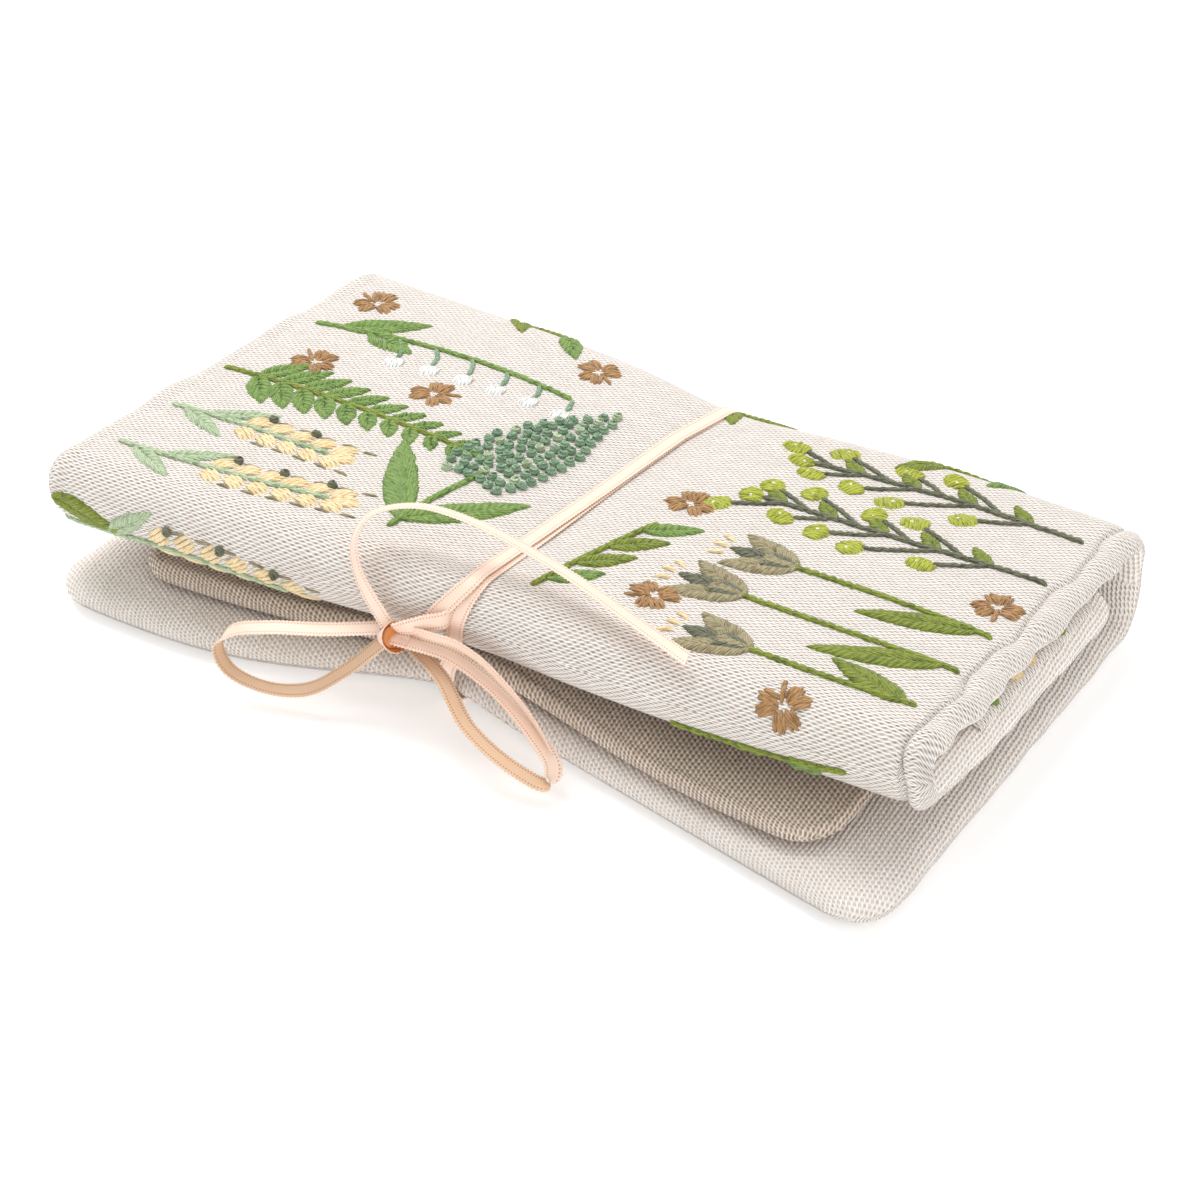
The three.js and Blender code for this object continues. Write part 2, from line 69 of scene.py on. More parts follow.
# Seams and puffed rims of the strip
SEAM_INSET = 5.0
SEAM_DIP = 0.5
SEAM_REACH = 1.6
STITCH_DIP = 0.85
STITCH_REACH = 0.35
LEFT_SEAM_SHARE = 0.15
ENDS_EASE = 10.0
RIM_PUFF = 0.5
RIM_PUFF_INSET = 2.3
RIM_PUFF_REACH = 2.0
RIM_WAVE = 0.7
CALM_SHARE = 0.25
INNER_SWELL = 1.45
SWELL_INSET = 3.2
SWELL_RISE = (4.0, 16.0)
SWELL_PUCKER = 0.35
SWELL_PHASE = 7.0
FOLD_SWELL_SHARE = 0.7
FOLD_EASE = 12.0
WANDER = 0.65
WANDER_REACH = 4.0
WANDER_PHASE = 3.0

# Waves in the cloth: height, reach and, where it is fixed, phase
PUCKER_LONG = (0.5, 5.3)
PUCKER_MIDDLE = (0.35, 2.9)
PUCKER_SHORT = (0.6, 2.05)
PUCKER_SWAY = (1.3, 11.0)
PUCKER_MIDDLE_PHASE = 0.8
PUCKER_LEFT_PHASE = 2.1
SEAM_SWAY = (0.7, 4.6, 0.4)
SEAM_WOBBLE = (0.3, 2.1)
LUMPS_ACROSS = (0.16, 8.7)
LUMPS_SWAY = (1.4, 15.0)
LUMPS_ALONG = (1.0, 9.3, 0.9)
CREASES = (0.1, 4.1)
CREASES_SLANT = 6.7
CREASES_REACH = 30.0
LEAF_RIPPLE = (0.35, 13.0, 0.6)
LEAF_RIPPLE_DEEP = (1.0, 0.25, 0.4)

# Pocket and needle leaf
POCKET_INSET = 11.0
POCKET_END_INSET = 2.0
POCKET_DEPTH = 53.0
POCKET_THICK = 0.8
POCKET_ROLL = 0.6
POCKET_LIFT = 0.15
POCKET_EDGE = (0, 0.1, 0.3, POCKET_ROLL)
POCKET_BORDER = 1.0
POCKET_STATIONS = 28
LEAF_LENGTH = 160.0
LEAF_DEPTH = 95.5
LEAF_BACK_INSET = 11.0
LEAF_HALF = 1.5
LEAF_RISE = 1.2
LEAF_CORNER = 10.0
LEAF_RIM_ROLL = 3.0
LEAF_SEAM_INSET = 4.6
LEAF_SEAM_DIP = 0.16
LEAF_SEAM_REACH = 0.9
LEAF_RIM_PUFF = 0.42
LEAF_RIGHT_INSET = 2.7
LEAF_RIGHT_PUFF = 0.16
LEAF_PUFF_SHARE = 0.41
LEAF_FULL_X = -45.0
LEAF_THIN_X = 50.0
LEAF_DIP_SHARE = 0.6
GAP = 0.3

# Front edges drawn in by the ribbon
BACK_DRAWN_IN = 18.0
BACK_DRAWN_REACH = 34.0
LEAF_DRAWN_IN = 11.0
LEAF_DRAWN_REACH = 40.0

# Ribbon
RIBBON_WIDTH = 3.5
RIBBON_THICK = 0.3
RIBBON_BACK_X = 4.0
RIBBON_SLANT = 0.105
RIBBON_LIFT = 0.3
RIBBON_LAYER = 0.5
RIBBON_CUP = 0.06
RIBBON_CUP_LEVEL = 0.4
PICOT_PITCH = 0.8
PICOT_DEPTH = 0.14
PICOT_FROM = 0.9
PICOT_THIN = 0.55
CUT_SHARPNESS = 40
TURN_SPREAD = 0.6
TURN_PART_Y = -40.0
TURN_BOW = 6.8
TURN_BOW_FROM_Y = -25.0
EASE_FROM = 2.0
KNOT_TURN_EASE = 6.8
KNOT_EASE_TO = 16.0
KNOT_TURN_END = 12.6
DROP_TURN_EASE = 3.1
DROP_EASE_TO = 20.0
DROP_TURN_END = 15.2
DROP_EDGE_CLEARANCE = 1.3
DROP_CORNER_CLEARANCE = 0.9
DROP_RIM_FROM = 0.17
DROP_RIM_LEAST = 0.35
UNDER_GAP = 1.0

# Knot
KNOT_MOUTH = (-11.6, -107.4, 20.3)
KNOT_AXIS = (0.903, -0.098, 0.418)
KNOT_UP = (-0.323, 0.485, 0.812)
KNOT_RADII = (2.7, 2.2)
KNOT_FLARE = 0.55
KNOT_FILL = 0.93
KNOT_STRAND_DEPTH = 1.9
CUP_DEPTH = 1.5
CUP_RISE = 0.9
CUP_THICK = 0.8
CUP_BACK_RISE = 0.3
CUP_CRUMPLE = 0.05
CUP_WEAVE = (2.0, 3.0)

# Soft settling of the tied book
WEDGE_BACK = -0.133
WEDGE_FRONT = 0.113
FOLD_SKEW = 7.0
PINCH_BACK = 5.0
PINCH_BACK_X = 9.0
PINCH_BACK_DEPTH = 45.0
PINCH_FRONT = 2.5
PINCH_FRONT_DEPTH = 30.0
PINCH_FRONT_X = -6.0
PINCH_REACH = 30.0
SQUEEZE_FLOOR = 1.4
SQUEEZE_TOP = 1.2
SQUEEZE_REACH = 11.0

# Places that follow from the sizes
HALF_PAD = PAD / 2
HALF_LENGTH = LENGTH / 2
POCKET_HALF_LENGTH = HALF_LENGTH - POCKET_END_INSET
SPINE_MID = SPINE_RADIUS - HALF_PAD
FOLD_MID = FOLD_RADIUS - HALF_PAD
FOLD_FRONT_Y = -FRONT_DEPTH
FOLD_Y = FOLD_FRONT_Y + FOLD_RADIUS
FOLD_Z = HEIGHT - FOLD_RADIUS
FLAP_Z = FOLD_Z - FOLD_MID
SPINE_TOP_Z = HEIGHT - SPINE_RADIUS
BACK_DRAWN_Y = BACK_DRAWN_IN - BACK_DEPTH
LEAF_SEWN_Z = PAD + GAP + LEAF_HALF
LEAF_Z = LEAF_SEWN_Z + LEAF_RISE
LEAF_BACK_Y = -LEAF_BACK_INSET
LEAF_SHORTEST = LEAF_DEPTH - LEAF_DRAWN_IN
LEAF_DRAWN_Y = LEAF_BACK_Y - LEAF_DEPTH + LEAF_DRAWN_IN
UPPER_FROM_Z = LEAF_Z + LEAF_HALF
UPPER_TO_Z = FLAP_Z - HALF_PAD
FRAME_SHIFT_Y = BACK_DEPTH / 2

# Runs: distances along the strip's outer cloth, 0 where the front cover leaves the spine
QUARTER = math.pi / 2
UPRIGHT = SPINE_TOP_Z - SPINE_RADIUS
RUN_UPRIGHT_TOP = -QUARTER * SPINE_RADIUS
RUN_UPRIGHT_LOW = RUN_UPRIGHT_TOP - UPRIGHT
RUN_BACK = RUN_UPRIGHT_LOW - QUARTER * SPINE_RADIUS
RUN_START = RUN_BACK - (BACK_DEPTH - SPINE_RADIUS)
RUN_FOLD = FRONT_DEPTH - FOLD_RADIUS - SPINE_RADIUS
RUN_FOLD_FRONT = RUN_FOLD + QUARTER * FOLD_RADIUS
RUN_FLAP = RUN_FOLD + math.pi * FOLD_RADIUS
RUN_END = RUN_FLAP + FLAP_DEPTH
RUN_SPINE_MIDDLE = RUN_UPRIGHT_TOP - UPRIGHT / 2
PUCKER_RISE = (-6.0, 6.0)
PUCKER_FALL = (RUN_FLAP - 4, RUN_FLAP + 8)
FOLD_RISE = (RUN_FOLD - FOLD_EASE, RUN_FOLD)
FOLD_FALL = (RUN_FLAP, RUN_FLAP + FOLD_EASE)


# Shape of the settled book


def bell(distance, reach):
    return np.exp(-((distance / reach) ** 2))


def smoothstep(value, low, high):
    share = np.clip((value - low) / (high - low), 0, 1)
    return share * share * (3 - 2 * share)


def lerp(low, high, share):
    return low + (high - low) * share


def wave(value, height, reach, phase=0.0):
    return height * np.sin(value / reach + phase)


def window(value, rise, fall):
    """1 between two eased edges and 0 outside them."""
    return smoothstep(value, *rise) * (1 - smoothstep(value, *fall))


def unit(vectors):
    return vectors / np.linalg.norm(vectors, axis=-1, keepdims=True)


def ribbon_x(y):
    return RIBBON_BACK_X + RIBBON_SLANT * y


def settle(x, y, z):
    """Moves points of the square layout to their place in the tied, soft book."""
    to_front = y / FOLD_FRONT_Y
    raised = z * (1 + WEDGE_BACK + (WEDGE_FRONT - WEDGE_BACK) * to_front)
    upper = smoothstep(z, UPPER_FROM_Z, UPPER_TO_Z)
    back_weight = smoothstep(y, -PINCH_BACK_DEPTH, 0)
    front_weight = 1 - smoothstep(y, FOLD_FRONT_Y, FOLD_FRONT_Y + PINCH_FRONT_DEPTH)
    pinch_back = PINCH_BACK * bell(x - PINCH_BACK_X, PINCH_REACH) * back_weight
    pinch_front = PINCH_FRONT * bell(x - PINCH_FRONT_X, PINCH_REACH) * front_weight * upper
    squeeze = bell(x - ribbon_x(y), SQUEEZE_REACH)
    squeezed = raised + squeeze * (SQUEEZE_FLOOR - (SQUEEZE_FLOOR + SQUEEZE_TOP) * z / HEIGHT)
    skew = FOLD_SKEW * (x / HALF_LENGTH) * to_front * upper
    return np.stack(np.broadcast_arrays(x, y + skew - pinch_back + pinch_front, squeezed), axis=-1)


def back_front_y(x):
    ribbon_at = ribbon_x(BACK_DRAWN_Y)
    left_share = 1 - bell(np.minimum(x - ribbon_at, 0), BACK_DRAWN_REACH)
    right_share = np.maximum(x - ribbon_at, 0) / (HALF_LENGTH - ribbon_at)
    return BACK_DRAWN_Y - BACK_DRAWN_IN * (left_share + right_share)


def leaf_front_y(x):
    away = 1 - bell(x - ribbon_x(LEAF_DRAWN_Y), LEAF_DRAWN_REACH)
    return LEAF_DRAWN_Y - LEAF_DRAWN_IN * away


def section(run):
    """Middle line and outward normal of the folded strip at a run."""
    crease = QUARTER * SPINE_RADIUS
    angle = -QUARTER + np.clip(run - RUN_BACK, 0, crease) / SPINE_RADIUS
    angle = angle + np.clip(run - RUN_UPRIGHT_TOP, 0, crease) / SPINE_RADIUS
    angle = angle + np.clip(run - RUN_FOLD, 0, math.pi * FOLD_RADIUS) / FOLD_RADIUS
    back = np.minimum(run - RUN_BACK, 0)
    upright = np.clip(run - RUN_UPRIGHT_LOW, 0, UPRIGHT)
    front = np.clip(run, 0, RUN_FOLD)
    flap = np.maximum(run - RUN_FLAP, 0)
    share = front / RUN_FOLD
    radius = lerp(SPINE_MID, FOLD_MID, share)
    centre_y = back - front + flap - SPINE_RADIUS
    centre_z = SPINE_RADIUS + upright + (FOLD_Z - SPINE_TOP_Z) * share
    normal_y, normal_z = np.cos(angle), np.sin(angle)
    return centre_y + radius * normal_y, centre_z + radius * normal_z, normal_y, normal_z


def rounded_half_length(half_length, corner, distance):
    inside = np.clip(corner - distance, 0, corner)
    return half_length - corner + np.sqrt(corner**2 - inside**2)


def strip_half_length(run):
    at_back = rounded_half_length(HALF_LENGTH, COVER_CORNER, run - RUN_START)
    at_flap = rounded_half_length(HALF_LENGTH, FLAP_CORNER, RUN_END - run)
    return np.minimum(at_back, at_flap)


def roll(distance, reach):
    near = np.clip(distance / reach, 0, 1)
    return np.sqrt(1 - (1 - near) ** 2)


def end_distance(x, run):
    return np.maximum(strip_half_length(run) - np.abs(x), 0)


def right_end(x):
    return smoothstep(x, -ENDS_EASE, ENDS_EASE)


def pucker(x, run):
    """Waves along an end seam, different at the two ends, with short ones only at the right end."""
    shift = np.where(x > 0, 0.0, PUCKER_LEFT_PHASE)
    waves = wave(run, *PUCKER_LONG, shift) + wave(run, *PUCKER_MIDDLE, 2 * shift + PUCKER_MIDDLE_PHASE)
    short = wave(run, *PUCKER_SHORT, wave(run, *PUCKER_SWAY)) * right_end(x)
    return (waves + short) * lerp(CALM_SHARE, 1, window(run, PUCKER_RISE, PUCKER_FALL))


def padded_half(x, run):
    """Half thickness of the padded strip, rolled at its ends and free edges."""
    free = np.minimum(run - RUN_START, RUN_END - run)
    return HALF_PAD * roll(end_distance(x, run), RIM_ROLL) * roll(free, RIM_ROLL)


def seam_depth(x, run):
    """Ditch along the closing seam, which shows at the right end and hardly at the left."""
    line = SEAM_INSET + wave(run, *SEAM_SWAY) + wave(run, *SEAM_WOBBLE)
    away = end_distance(x, run) - line
    share = lerp(LEFT_SEAM_SHARE, 1, right_end(x))
    return share * (SEAM_DIP * bell(away, SEAM_REACH) + STITCH_DIP * bell(away, STITCH_REACH))


def outer_offset(x, run):
    """Outer side: puffed end rims, soft lumps and creases at the ribbon, pressed flat where the book lies."""
    half = padded_half(x, run)
    rim = bell(end_distance(x, run) - RIM_PUFF_INSET, RIM_PUFF_REACH)
    puff = (RIM_PUFF + RIM_WAVE * pucker(x, run)) * rim
    lumps = wave(x, *LUMPS_ACROSS, wave(run, *LUMPS_SWAY)) * wave(run, *LUMPS_ALONG)
    lumps = lumps + wave(x, *CREASES, -run / CREASES_SLANT) * bell(x - ribbon_x(-run), CREASES_REACH)
    free_share = smoothstep(run, RUN_BACK, RUN_BACK + UNDERSIDE_EASE)
    raised = free_share * (puff + lumps) - (1 - free_share) * UNDERSIDE_PRESS
    return half + half / HALF_PAD * (raised - seam_depth(x, run))


def inner_offset(x, run):
    """Lining side: the end rims of the front cover and the flap swell towards each other."""
    half = padded_half(x, run)
    share = smoothstep(run, *SWELL_RISE) * lerp(1, FOLD_SWELL_SHARE, window(run, FOLD_RISE, FOLD_FALL))
    rim = bell(end_distance(x, run) - SWELL_INSET, SWELL_INSET)
    swell = INNER_SWELL * share * rim * (1 + SWELL_PUCKER * pucker(x, run + SWELL_PHASE))
    return half + half / HALF_PAD * swell


def strip_place(x, run, offset):
    y, z, normal_y, normal_z = section(run)
    share = np.clip((run - RUN_START) / (RUN_BACK - RUN_START), 0, 1)
    y = y + (1 - share) * (back_front_y(x) + BACK_DEPTH)
    wander = WANDER * np.sign(x) * pucker(x, run + WANDER_PHASE) * bell(end_distance(x, run), WANDER_REACH)
    slipped = FLAP_SHIFT * smoothstep(run, RUN_FOLD_FRONT, RUN_FLAP + SLIP_EASE)
    return settle(x + wander + slipped, y + normal_y * offset, z + normal_z * offset)


def outer_place(x, run):
    return strip_place(x, run, outer_offset(x, run))


def surface_frame(place, x, run, way):
    """Point on a cloth's face and its normal, turned by way to look out of the cloth."""
    step = 0.05
    along = place(x + step, run) - place(x - step, run)
    across = place(x, run + step) - place(x, run - step)
    return place(x, run), way * unit(np.cross(across, along))


def cloth_frame(x, run):
    return surface_frame(outer_place, x, run, 1)


def to_frame(points):
    return (np.asarray(points, float) + (0, FRAME_SHIFT_Y, 0)) * MM


# Mesh helpers
WELD_DISTANCE = 1e-6
LEAST_EDGE = 1e-7


def make_object(name, vertices, faces, uv, materials, slots=None, weld=False):
    """Smooth mesh object from millimetre points in the book's layout."""
    mesh = bpy.data.meshes.new(name)
    mesh.from_pydata(to_frame(np.reshape(vertices, (-1, 3))).tolist(), [], np.asarray(faces).tolist())
    for material in materials:
        mesh.materials.append(material)
    if slots is not None:
        mesh.polygons.foreach_set("material_index", np.asarray(slots, np.int32))
    mesh.polygons.foreach_set("use_smooth", np.ones(len(mesh.polygons), bool))
    loops = np.zeros(len(mesh.loops), np.int32)
    mesh.loops.foreach_get("vertex_index", loops)
    corners = np.reshape(uv, (-1, 2))[loops] * MM
    mesh.uv_layers.new(name="cloth").data.foreach_set("uv", corners.astype(np.float32).ravel())
    if weld:
        body = bmesh.new()
        body.from_mesh(mesh)
        bmesh.ops.remove_doubles(body, verts=body.verts, dist=WELD_DISTANCE)
        bmesh.ops.dissolve_degenerate(body, edges=body.edges, dist=LEAST_EDGE)
        body.to_mesh(mesh)
        body.free()
    mesh.update()
    made = bpy.data.objects.new(name, mesh)
    bpy.context.scene.collection.objects.link(made)
    return made


def ring_faces(lines, ring):
    """Quads of a grid of closed rings, and each quad's place in its ring."""
    line, place = np.meshgrid(np.arange(lines - 1), np.arange(ring), indexing="ij")
    after = (place + 1) % ring
    corners = [line * ring + place, (line + 1) * ring + place, (line + 1) * ring + after, line * ring + after]
    return np.stack(corners, axis=-1).reshape(-1, 4), place.ravel()


END_INSETS = np.concatenate([
    [0, 0.12, 0.35, 0.7], np.arange(1.2, 4.0, 0.6), np.arange(4.0, 6.3, 0.25), [6.7, 7.4, 8.4, 9.6],
])
COLUMN_STEP = 2.4
STATION_STEP = 2.0
ARC_STEP = 0.6
JOIN_STEP = 0.1


def spread_columns(half_length):
    """Places across a length, finer at both ends, as an array with one row for each half length."""
    half_length = np.asarray(half_length)[:, None]
    last = END_INSETS[-1]
    count = int(2 * (HALF_LENGTH - last) / COLUMN_STEP)
    middle = np.linspace(-1, 1, count + 2)[1:-1] * (half_length - last)
    low = END_INSETS - half_length
    return np.concatenate([low, middle, -low[:, ::-1]], axis=1)


def travelled(points, axis=0):
    """Distances along lines of points."""
    steps = np.diff(points, axis=axis, prepend=np.take(points, [0], axis))
    return np.cumsum(np.linalg.norm(steps, axis=-1), axis=axis)


def cloth_coordinates(points, run):
    """Distances along the cloth from its middle column and middle line, so that the weave keeps its size."""
    lines, columns = points.shape[:2]
    across = travelled(points, 1)
    along = travelled(points, 0)
    across = across - across[:, columns // 2, None]
    along = along - along[lines // 2] + run[lines // 2]
    return np.stack([across, along], axis=-1)


def pillow(name, runs, half_lengths, place, outer, inner, materials):
    """Padded sheet: an outer and an inner face that meet along the ends."""
    x = spread_columns(half_lengths)
    lines, columns = x.shape
    run = np.broadcast_to(np.asarray(runs)[:, None], x.shape)
    top = place(x, run, outer(x, run))
    low = place(x, run, -inner(x, run))
    points = np.concatenate([top, low[:, -2:0:-1]], axis=1)
    uv = np.concatenate([cloth_coordinates(top, run), cloth_coordinates(low, run)[:, -2:0:-1]], axis=1)
    faces, place_in_ring = ring_faces(lines, points.shape[1])
    slots = np.where(place_in_ring < columns - 1, 0, 1)
    return make_object(name, points, faces, uv, materials, slots, weld=True)


def run_steps(start, stop, arcs, rims):
    """Stations along the strip, closer in the arcs, at the free edges and at both joins."""
    steps = [np.arange(start, stop, STATION_STEP)]
    for low, high in arcs:
        steps.append(np.linspace(low, high, int((high - low) / ARC_STEP)))
    for edge, way in rims:
        steps.append(edge + way * END_INSETS)
    every = np.unique(np.round(np.concatenate(steps), 3))
    inside = every[(every > start + JOIN_STEP) & (every < stop - JOIN_STEP)]
    return np.concatenate([[start, start + JOIN_STEP], inside, [stop - JOIN_STEP, stop]])


# Materials


def srgb(red, green, blue):
    """Linear colour with alpha from 0 to 255 screen values."""
    values = np.array([red, green, blue]) / 255
    linear = np.where(values <= 0.04045, values / 12.92, ((values + 0.055) / 1.055) ** 2.4)
    return (*linear.tolist(), 1.0)


class Value:
    """Output of a shader node, for use in plain sums."""

    def __init__(self, nodes, socket):
        self.nodes = nodes
        self.socket = socket

    def __add__(self, other):
        return self.nodes.math("ADD", self, other)

    def __sub__(self, other):
        return self.nodes.math("SUBTRACT", self, other)

    def __mul__(self, other):
        return self.nodes.math("MULTIPLY", self, other)


class Nodes:
    """Short calls for building a material's node tree."""

    def __init__(self, name):
        self.material = bpy.data.materials.new(name)
        self.material.use_nodes = True
        self.tree = self.material.node_tree
        self.shader = self.tree.nodes["Principled BSDF"]

    def link(self, value, socket):
        if isinstance(value, Value):
            self.tree.links.new(value.socket, socket)
        else:
            socket.default_value = value

    def set(self, **values):
        for name, value in values.items():
            self.link(value, self.shader.inputs[name.replace("_", " ")])

    def add(self, kind, output, inputs, **settings):
        """New node with its settings made and its inputs linked or set."""
        node = self.tree.nodes.new("ShaderNode" + kind)
        for name, value in settings.items():
            setattr(node, name, value)
        for name, value in inputs.items():
            self.link(value, node.inputs[name])
        return Value(self, node.outputs[output])

    def math(self, operation, first, second=0.0):
        return self.add("Math", 0, {0: first, 1: second}, operation=operation)

    def mix(self, share, first, second):
        return self.add("Mix", "Result", {"Factor": share, "A": first, "B": second}, data_type="RGBA")

    def ramp(self, value, low, high):
        inputs = {"Value": value, "From Min": low, "From Max": high}
        return self.add("MapRange", "Result", inputs, interpolation_type="SMOOTHSTEP")

    def cloth_uv(self):
        place = self.add("UVMap", "UV", {}, uv_map="cloth")
        return [self.add("SeparateXYZ", axis, {0: place}) for axis in "XY"]

    def vector(self, first, second):
        return self.add("CombineXYZ", 0, {0: first, 1: second})

    def noise(self, first, second, scale=1.0, detail=2.0):
        inputs = {"Vector": self.vector(first, second), "Scale": scale, "Detail": detail}
        return self.add("TexNoise", "Fac", inputs)

    def chance(self, first, second):
        inputs = {"Vector": self.vector(first, second)}
        return self.add("TexWhiteNoise", "Value", inputs, noise_dimensions="3D")

    def bump(self, height, strength, distance):
        inputs = {"Height": height, "Strength": strength, "Distance": distance}
        self.set(Normal=self.add("Bump", "Normal", inputs))


# Linen: thread waves and noise scales for each metre of cloth, edges of its tones and depth in metres
OUTER_WAVES = ((575.0, 812.0), (0.0, 1620.0))
PLAIN_WAVES = ((545.0, 836.0), (1060.0, 120.0))
FIRST_WAVE_SHARE = 0.44
THREAD_SHAKE = 0.0010
SHAKE_U = 150
SHAKE_V = 170
SLUB_LONG = 25.0
SLUB_FINE = 1100.0
BLOTCHES = 900
LINEN_FIBRES = 5000
LINEN_FIBRE_SHARE = 0.25
CHANCE_SHARE = 0.55
WARM_SLUB = (0.35, 0.75)
DARK_SLUB = (0.2, 0.65)
DARK_BLOTCH = (0.3, 0.6)
GAP_EDGE = (-1.0, -0.4)
OVER_EDGE = (-0.25, 0.25)
WEAVE_RELIEF = (-1.0, 0.8)
WEAVE_DEPTH = 0.0004


def linen(name, waves, *colours):
    """Coarse weave: pale slanted ovals where two thread waves meet, with darker gaps between them: the under
    threads' tone with painted shade in the weave's hollows.
    """
    pale, warm, between, gap_thread_and_shade_pale, gap_thread_and_shade_dark = (srgb(*colour) for colour in colours)
    nodes = Nodes(name)
    u, v = nodes.cloth_uv()
    wave_u = u + nodes.noise(u, v, SHAKE_U) * THREAD_SHAKE
    wave_v = v + nodes.noise(v, u, SHAKE_V) * THREAD_SHAKE
    turns = [wave_u * across + wave_v * along for across, along in waves]
    first, second = (nodes.math("COSINE", turn * (2 * math.pi)) for turn in turns)
    weave = first * FIRST_WAVE_SHARE + second * (1 - FIRST_WAVE_SHARE)
    chance = nodes.chance(*(nodes.math("ROUND", turn) for turn in turns))
    slub_u = nodes.noise(u * SLUB_LONG, v * SLUB_FINE)
    slub_v = nodes.noise(u * SLUB_FINE, v * SLUB_LONG)
    blotch = nodes.noise(u, v, BLOTCHES)
    tone = nodes.ramp(slub_v, *WARM_SLUB) * blotch
    over = nodes.mix(tone + chance * CHANCE_SHARE, pale, warm)
    streak = nodes.ramp(slub_u, *DARK_SLUB) * nodes.ramp(blotch, *DARK_BLOTCH)
    # Gaps between the ovals: the under threads' tone darkened as painted shade in the weave's hollows,
    # darkest where the weave sinks deepest
    under = nodes.mix(streak, gap_thread_and_shade_pale, gap_thread_and_shade_dark)
    gap_tone_and_shade = nodes.mix(nodes.ramp(weave, *GAP_EDGE), under, between)
    nodes.set(Base_Color=nodes.mix(nodes.ramp(weave, *OVER_EDGE), gap_tone_and_shade, over))
    fibres = nodes.noise(u, v, LINEN_FIBRES)
    height = nodes.ramp(weave, *WEAVE_RELIEF) + fibres * LINEN_FIBRE_SHARE
    nodes.bump(height, strength=1.0, distance=WEAVE_DEPTH)
    nodes.set(Roughness=0.93, Sheen_Weight=0.12, Sheen_Roughness=0.6, Specular_IOR_Level=0.15)
    return nodes.material


# The last two colours of each linen are its under threads' tone, darkened as painted shade in the weave's
# hollows
OUTER_LINEN = linen("outer_linen", OUTER_WAVES, (255, 255, 253), (249, 242, 234), (228, 215, 203),
                    (204, 183, 166), (122, 93, 75))
PLAIN_LINEN = linen("plain_linen", PLAIN_WAVES, (255, 253, 249), (251, 243, 235), (246, 235, 225),
                    (233, 215, 200), (180, 151, 129))
# Darker, warmer copy of the lining for the needle leaf: painted shade for the leaf's place under the fold
SHADED_LEAF_LINEN = linen("leaf_linen", PLAIN_WAVES, (245, 234, 221), (224, 207, 190), (194, 171, 151),
                   (170, 145, 124), (101, 76, 59))

# Satin, in metres and for each metre of ribbon
SATIN_FINE = 9000.0
SATIN_LONG = 160.0
SATIN_CLOUDS = 120
SATIN_TONES = (0.25, 0.8)
HOLE_ROW_SHARE = 0.33
HOLE_ROW_EDGE = (0.00008, 0.00024)
HOLE_PITCH = 0.0006
HOLE_EDGE = (-0.2, 0.5)
HOLE_SHADE = 0.9
SATIN_RELIEF = 0.5
SATIN_DEPTH = 0.00012


def satin(name, *colours):
    """Narrow satin ribbon: fine threads along it, two rows of tiny holes and a soft gloss."""
    base, deep, line_colour = (srgb(*colour) for colour in colours)
    nodes = Nodes(name)
    u, v = nodes.cloth_uv()
    threads = nodes.noise(u * SATIN_FINE, v * SATIN_LONG, detail=3)
    cloudy = nodes.noise(u, v, SATIN_CLOUDS)
    colour = nodes.mix(cloudy * nodes.ramp(threads, *SATIN_TONES), base, deep)
    row = nodes.math("ABSOLUTE", u) - HOLE_ROW_SHARE * RIBBON_WIDTH * MM
    in_row = nodes.math("SUBTRACT", 1.0, nodes.ramp(nodes.math("ABSOLUTE", row), *HOLE_ROW_EDGE))
    dots = nodes.math("SINE", v * (2 * math.pi / HOLE_PITCH))
    holes = in_row * nodes.ramp(dots, *HOLE_EDGE)
    nodes.set(Base_Color=nodes.mix(holes * HOLE_SHADE, colour, line_colour))
    nodes.bump(threads * SATIN_RELIEF - holes, strength=0.35, distance=SATIN_DEPTH)
    nodes.set(Roughness=0.36, Sheen_Weight=0.2, Sheen_Roughness=0.35)
    nodes.set(Subsurface_Weight=0.12, Subsurface_Radius=(0.0016, 0.0008, 0.0004))
    return nodes.material


SATIN = satin("peach_satin", (246, 220, 202), (236, 203, 181), (202, 148, 110))
# Darker tan copy of the satin for the reverse faces inside the bow's loops: painted shade
SHADED_BACK_SATIN = satin("peach_satin_back", (232, 199, 168), (212, 174, 140), (170, 120, 80))
# Deep orange satin: painted shade with the warm glow of light through the satin, for the inside of the knot
KNOT_SHADE_SATIN = satin("peach_satin_fold", (232, 158, 92), (206, 118, 54), (176, 92, 40))

# Embroidery cotton, in metres and for each metre of thread
TWISTS_ROUND = 5000
TWIST_SLANT = 3200.0
COTTON_TONES = 420
COTTON_LONG = 900.0
COTTON_FINE = 14000.0
GROOVE_EDGE = (0.2, -0.9)
GROOVE_FIBRES = (0.15, 0.7)
GROOVE_SHADE = 0.7
TONE_EDGE = (0.42, 0.78)
COTTON_FIBRE_SHARE = 0.6
COTTON_DEPTH = 0.00014


def cotton(name, base, dark):
    """Stranded embroidery cotton: twisted strands along each stitch, a little uneven in tone, with painted
    shade in the grooves between strands.
    """
    nodes = Nodes(name)
    u, v = nodes.cloth_uv()
    strands = nodes.math("SINE", v * (2 * math.pi * TWISTS_ROUND) + u * TWIST_SLANT)
    tone = nodes.noise(u, v, COTTON_TONES)
    fibres = nodes.noise(u * COTTON_LONG, v * COTTON_FINE)
    # Painted shade: the thread's darker tone laid into the grooves between its strands
    painted_groove_shade = nodes.ramp(strands, *GROOVE_EDGE) * nodes.ramp(fibres, *GROOVE_FIBRES)
    share = painted_groove_shade * GROOVE_SHADE + nodes.ramp(tone, *TONE_EDGE)
    nodes.set(Base_Color=nodes.mix(share, srgb(*base), srgb(*dark)))
    nodes.bump(strands + fibres * COTTON_FIBRE_SHARE, strength=0.7, distance=COTTON_DEPTH)
    nodes.set(Roughness=0.68, Sheen_Weight=0.2, Sheen_Roughness=0.5, Specular_IOR_Level=0.3)
    return nodes.material
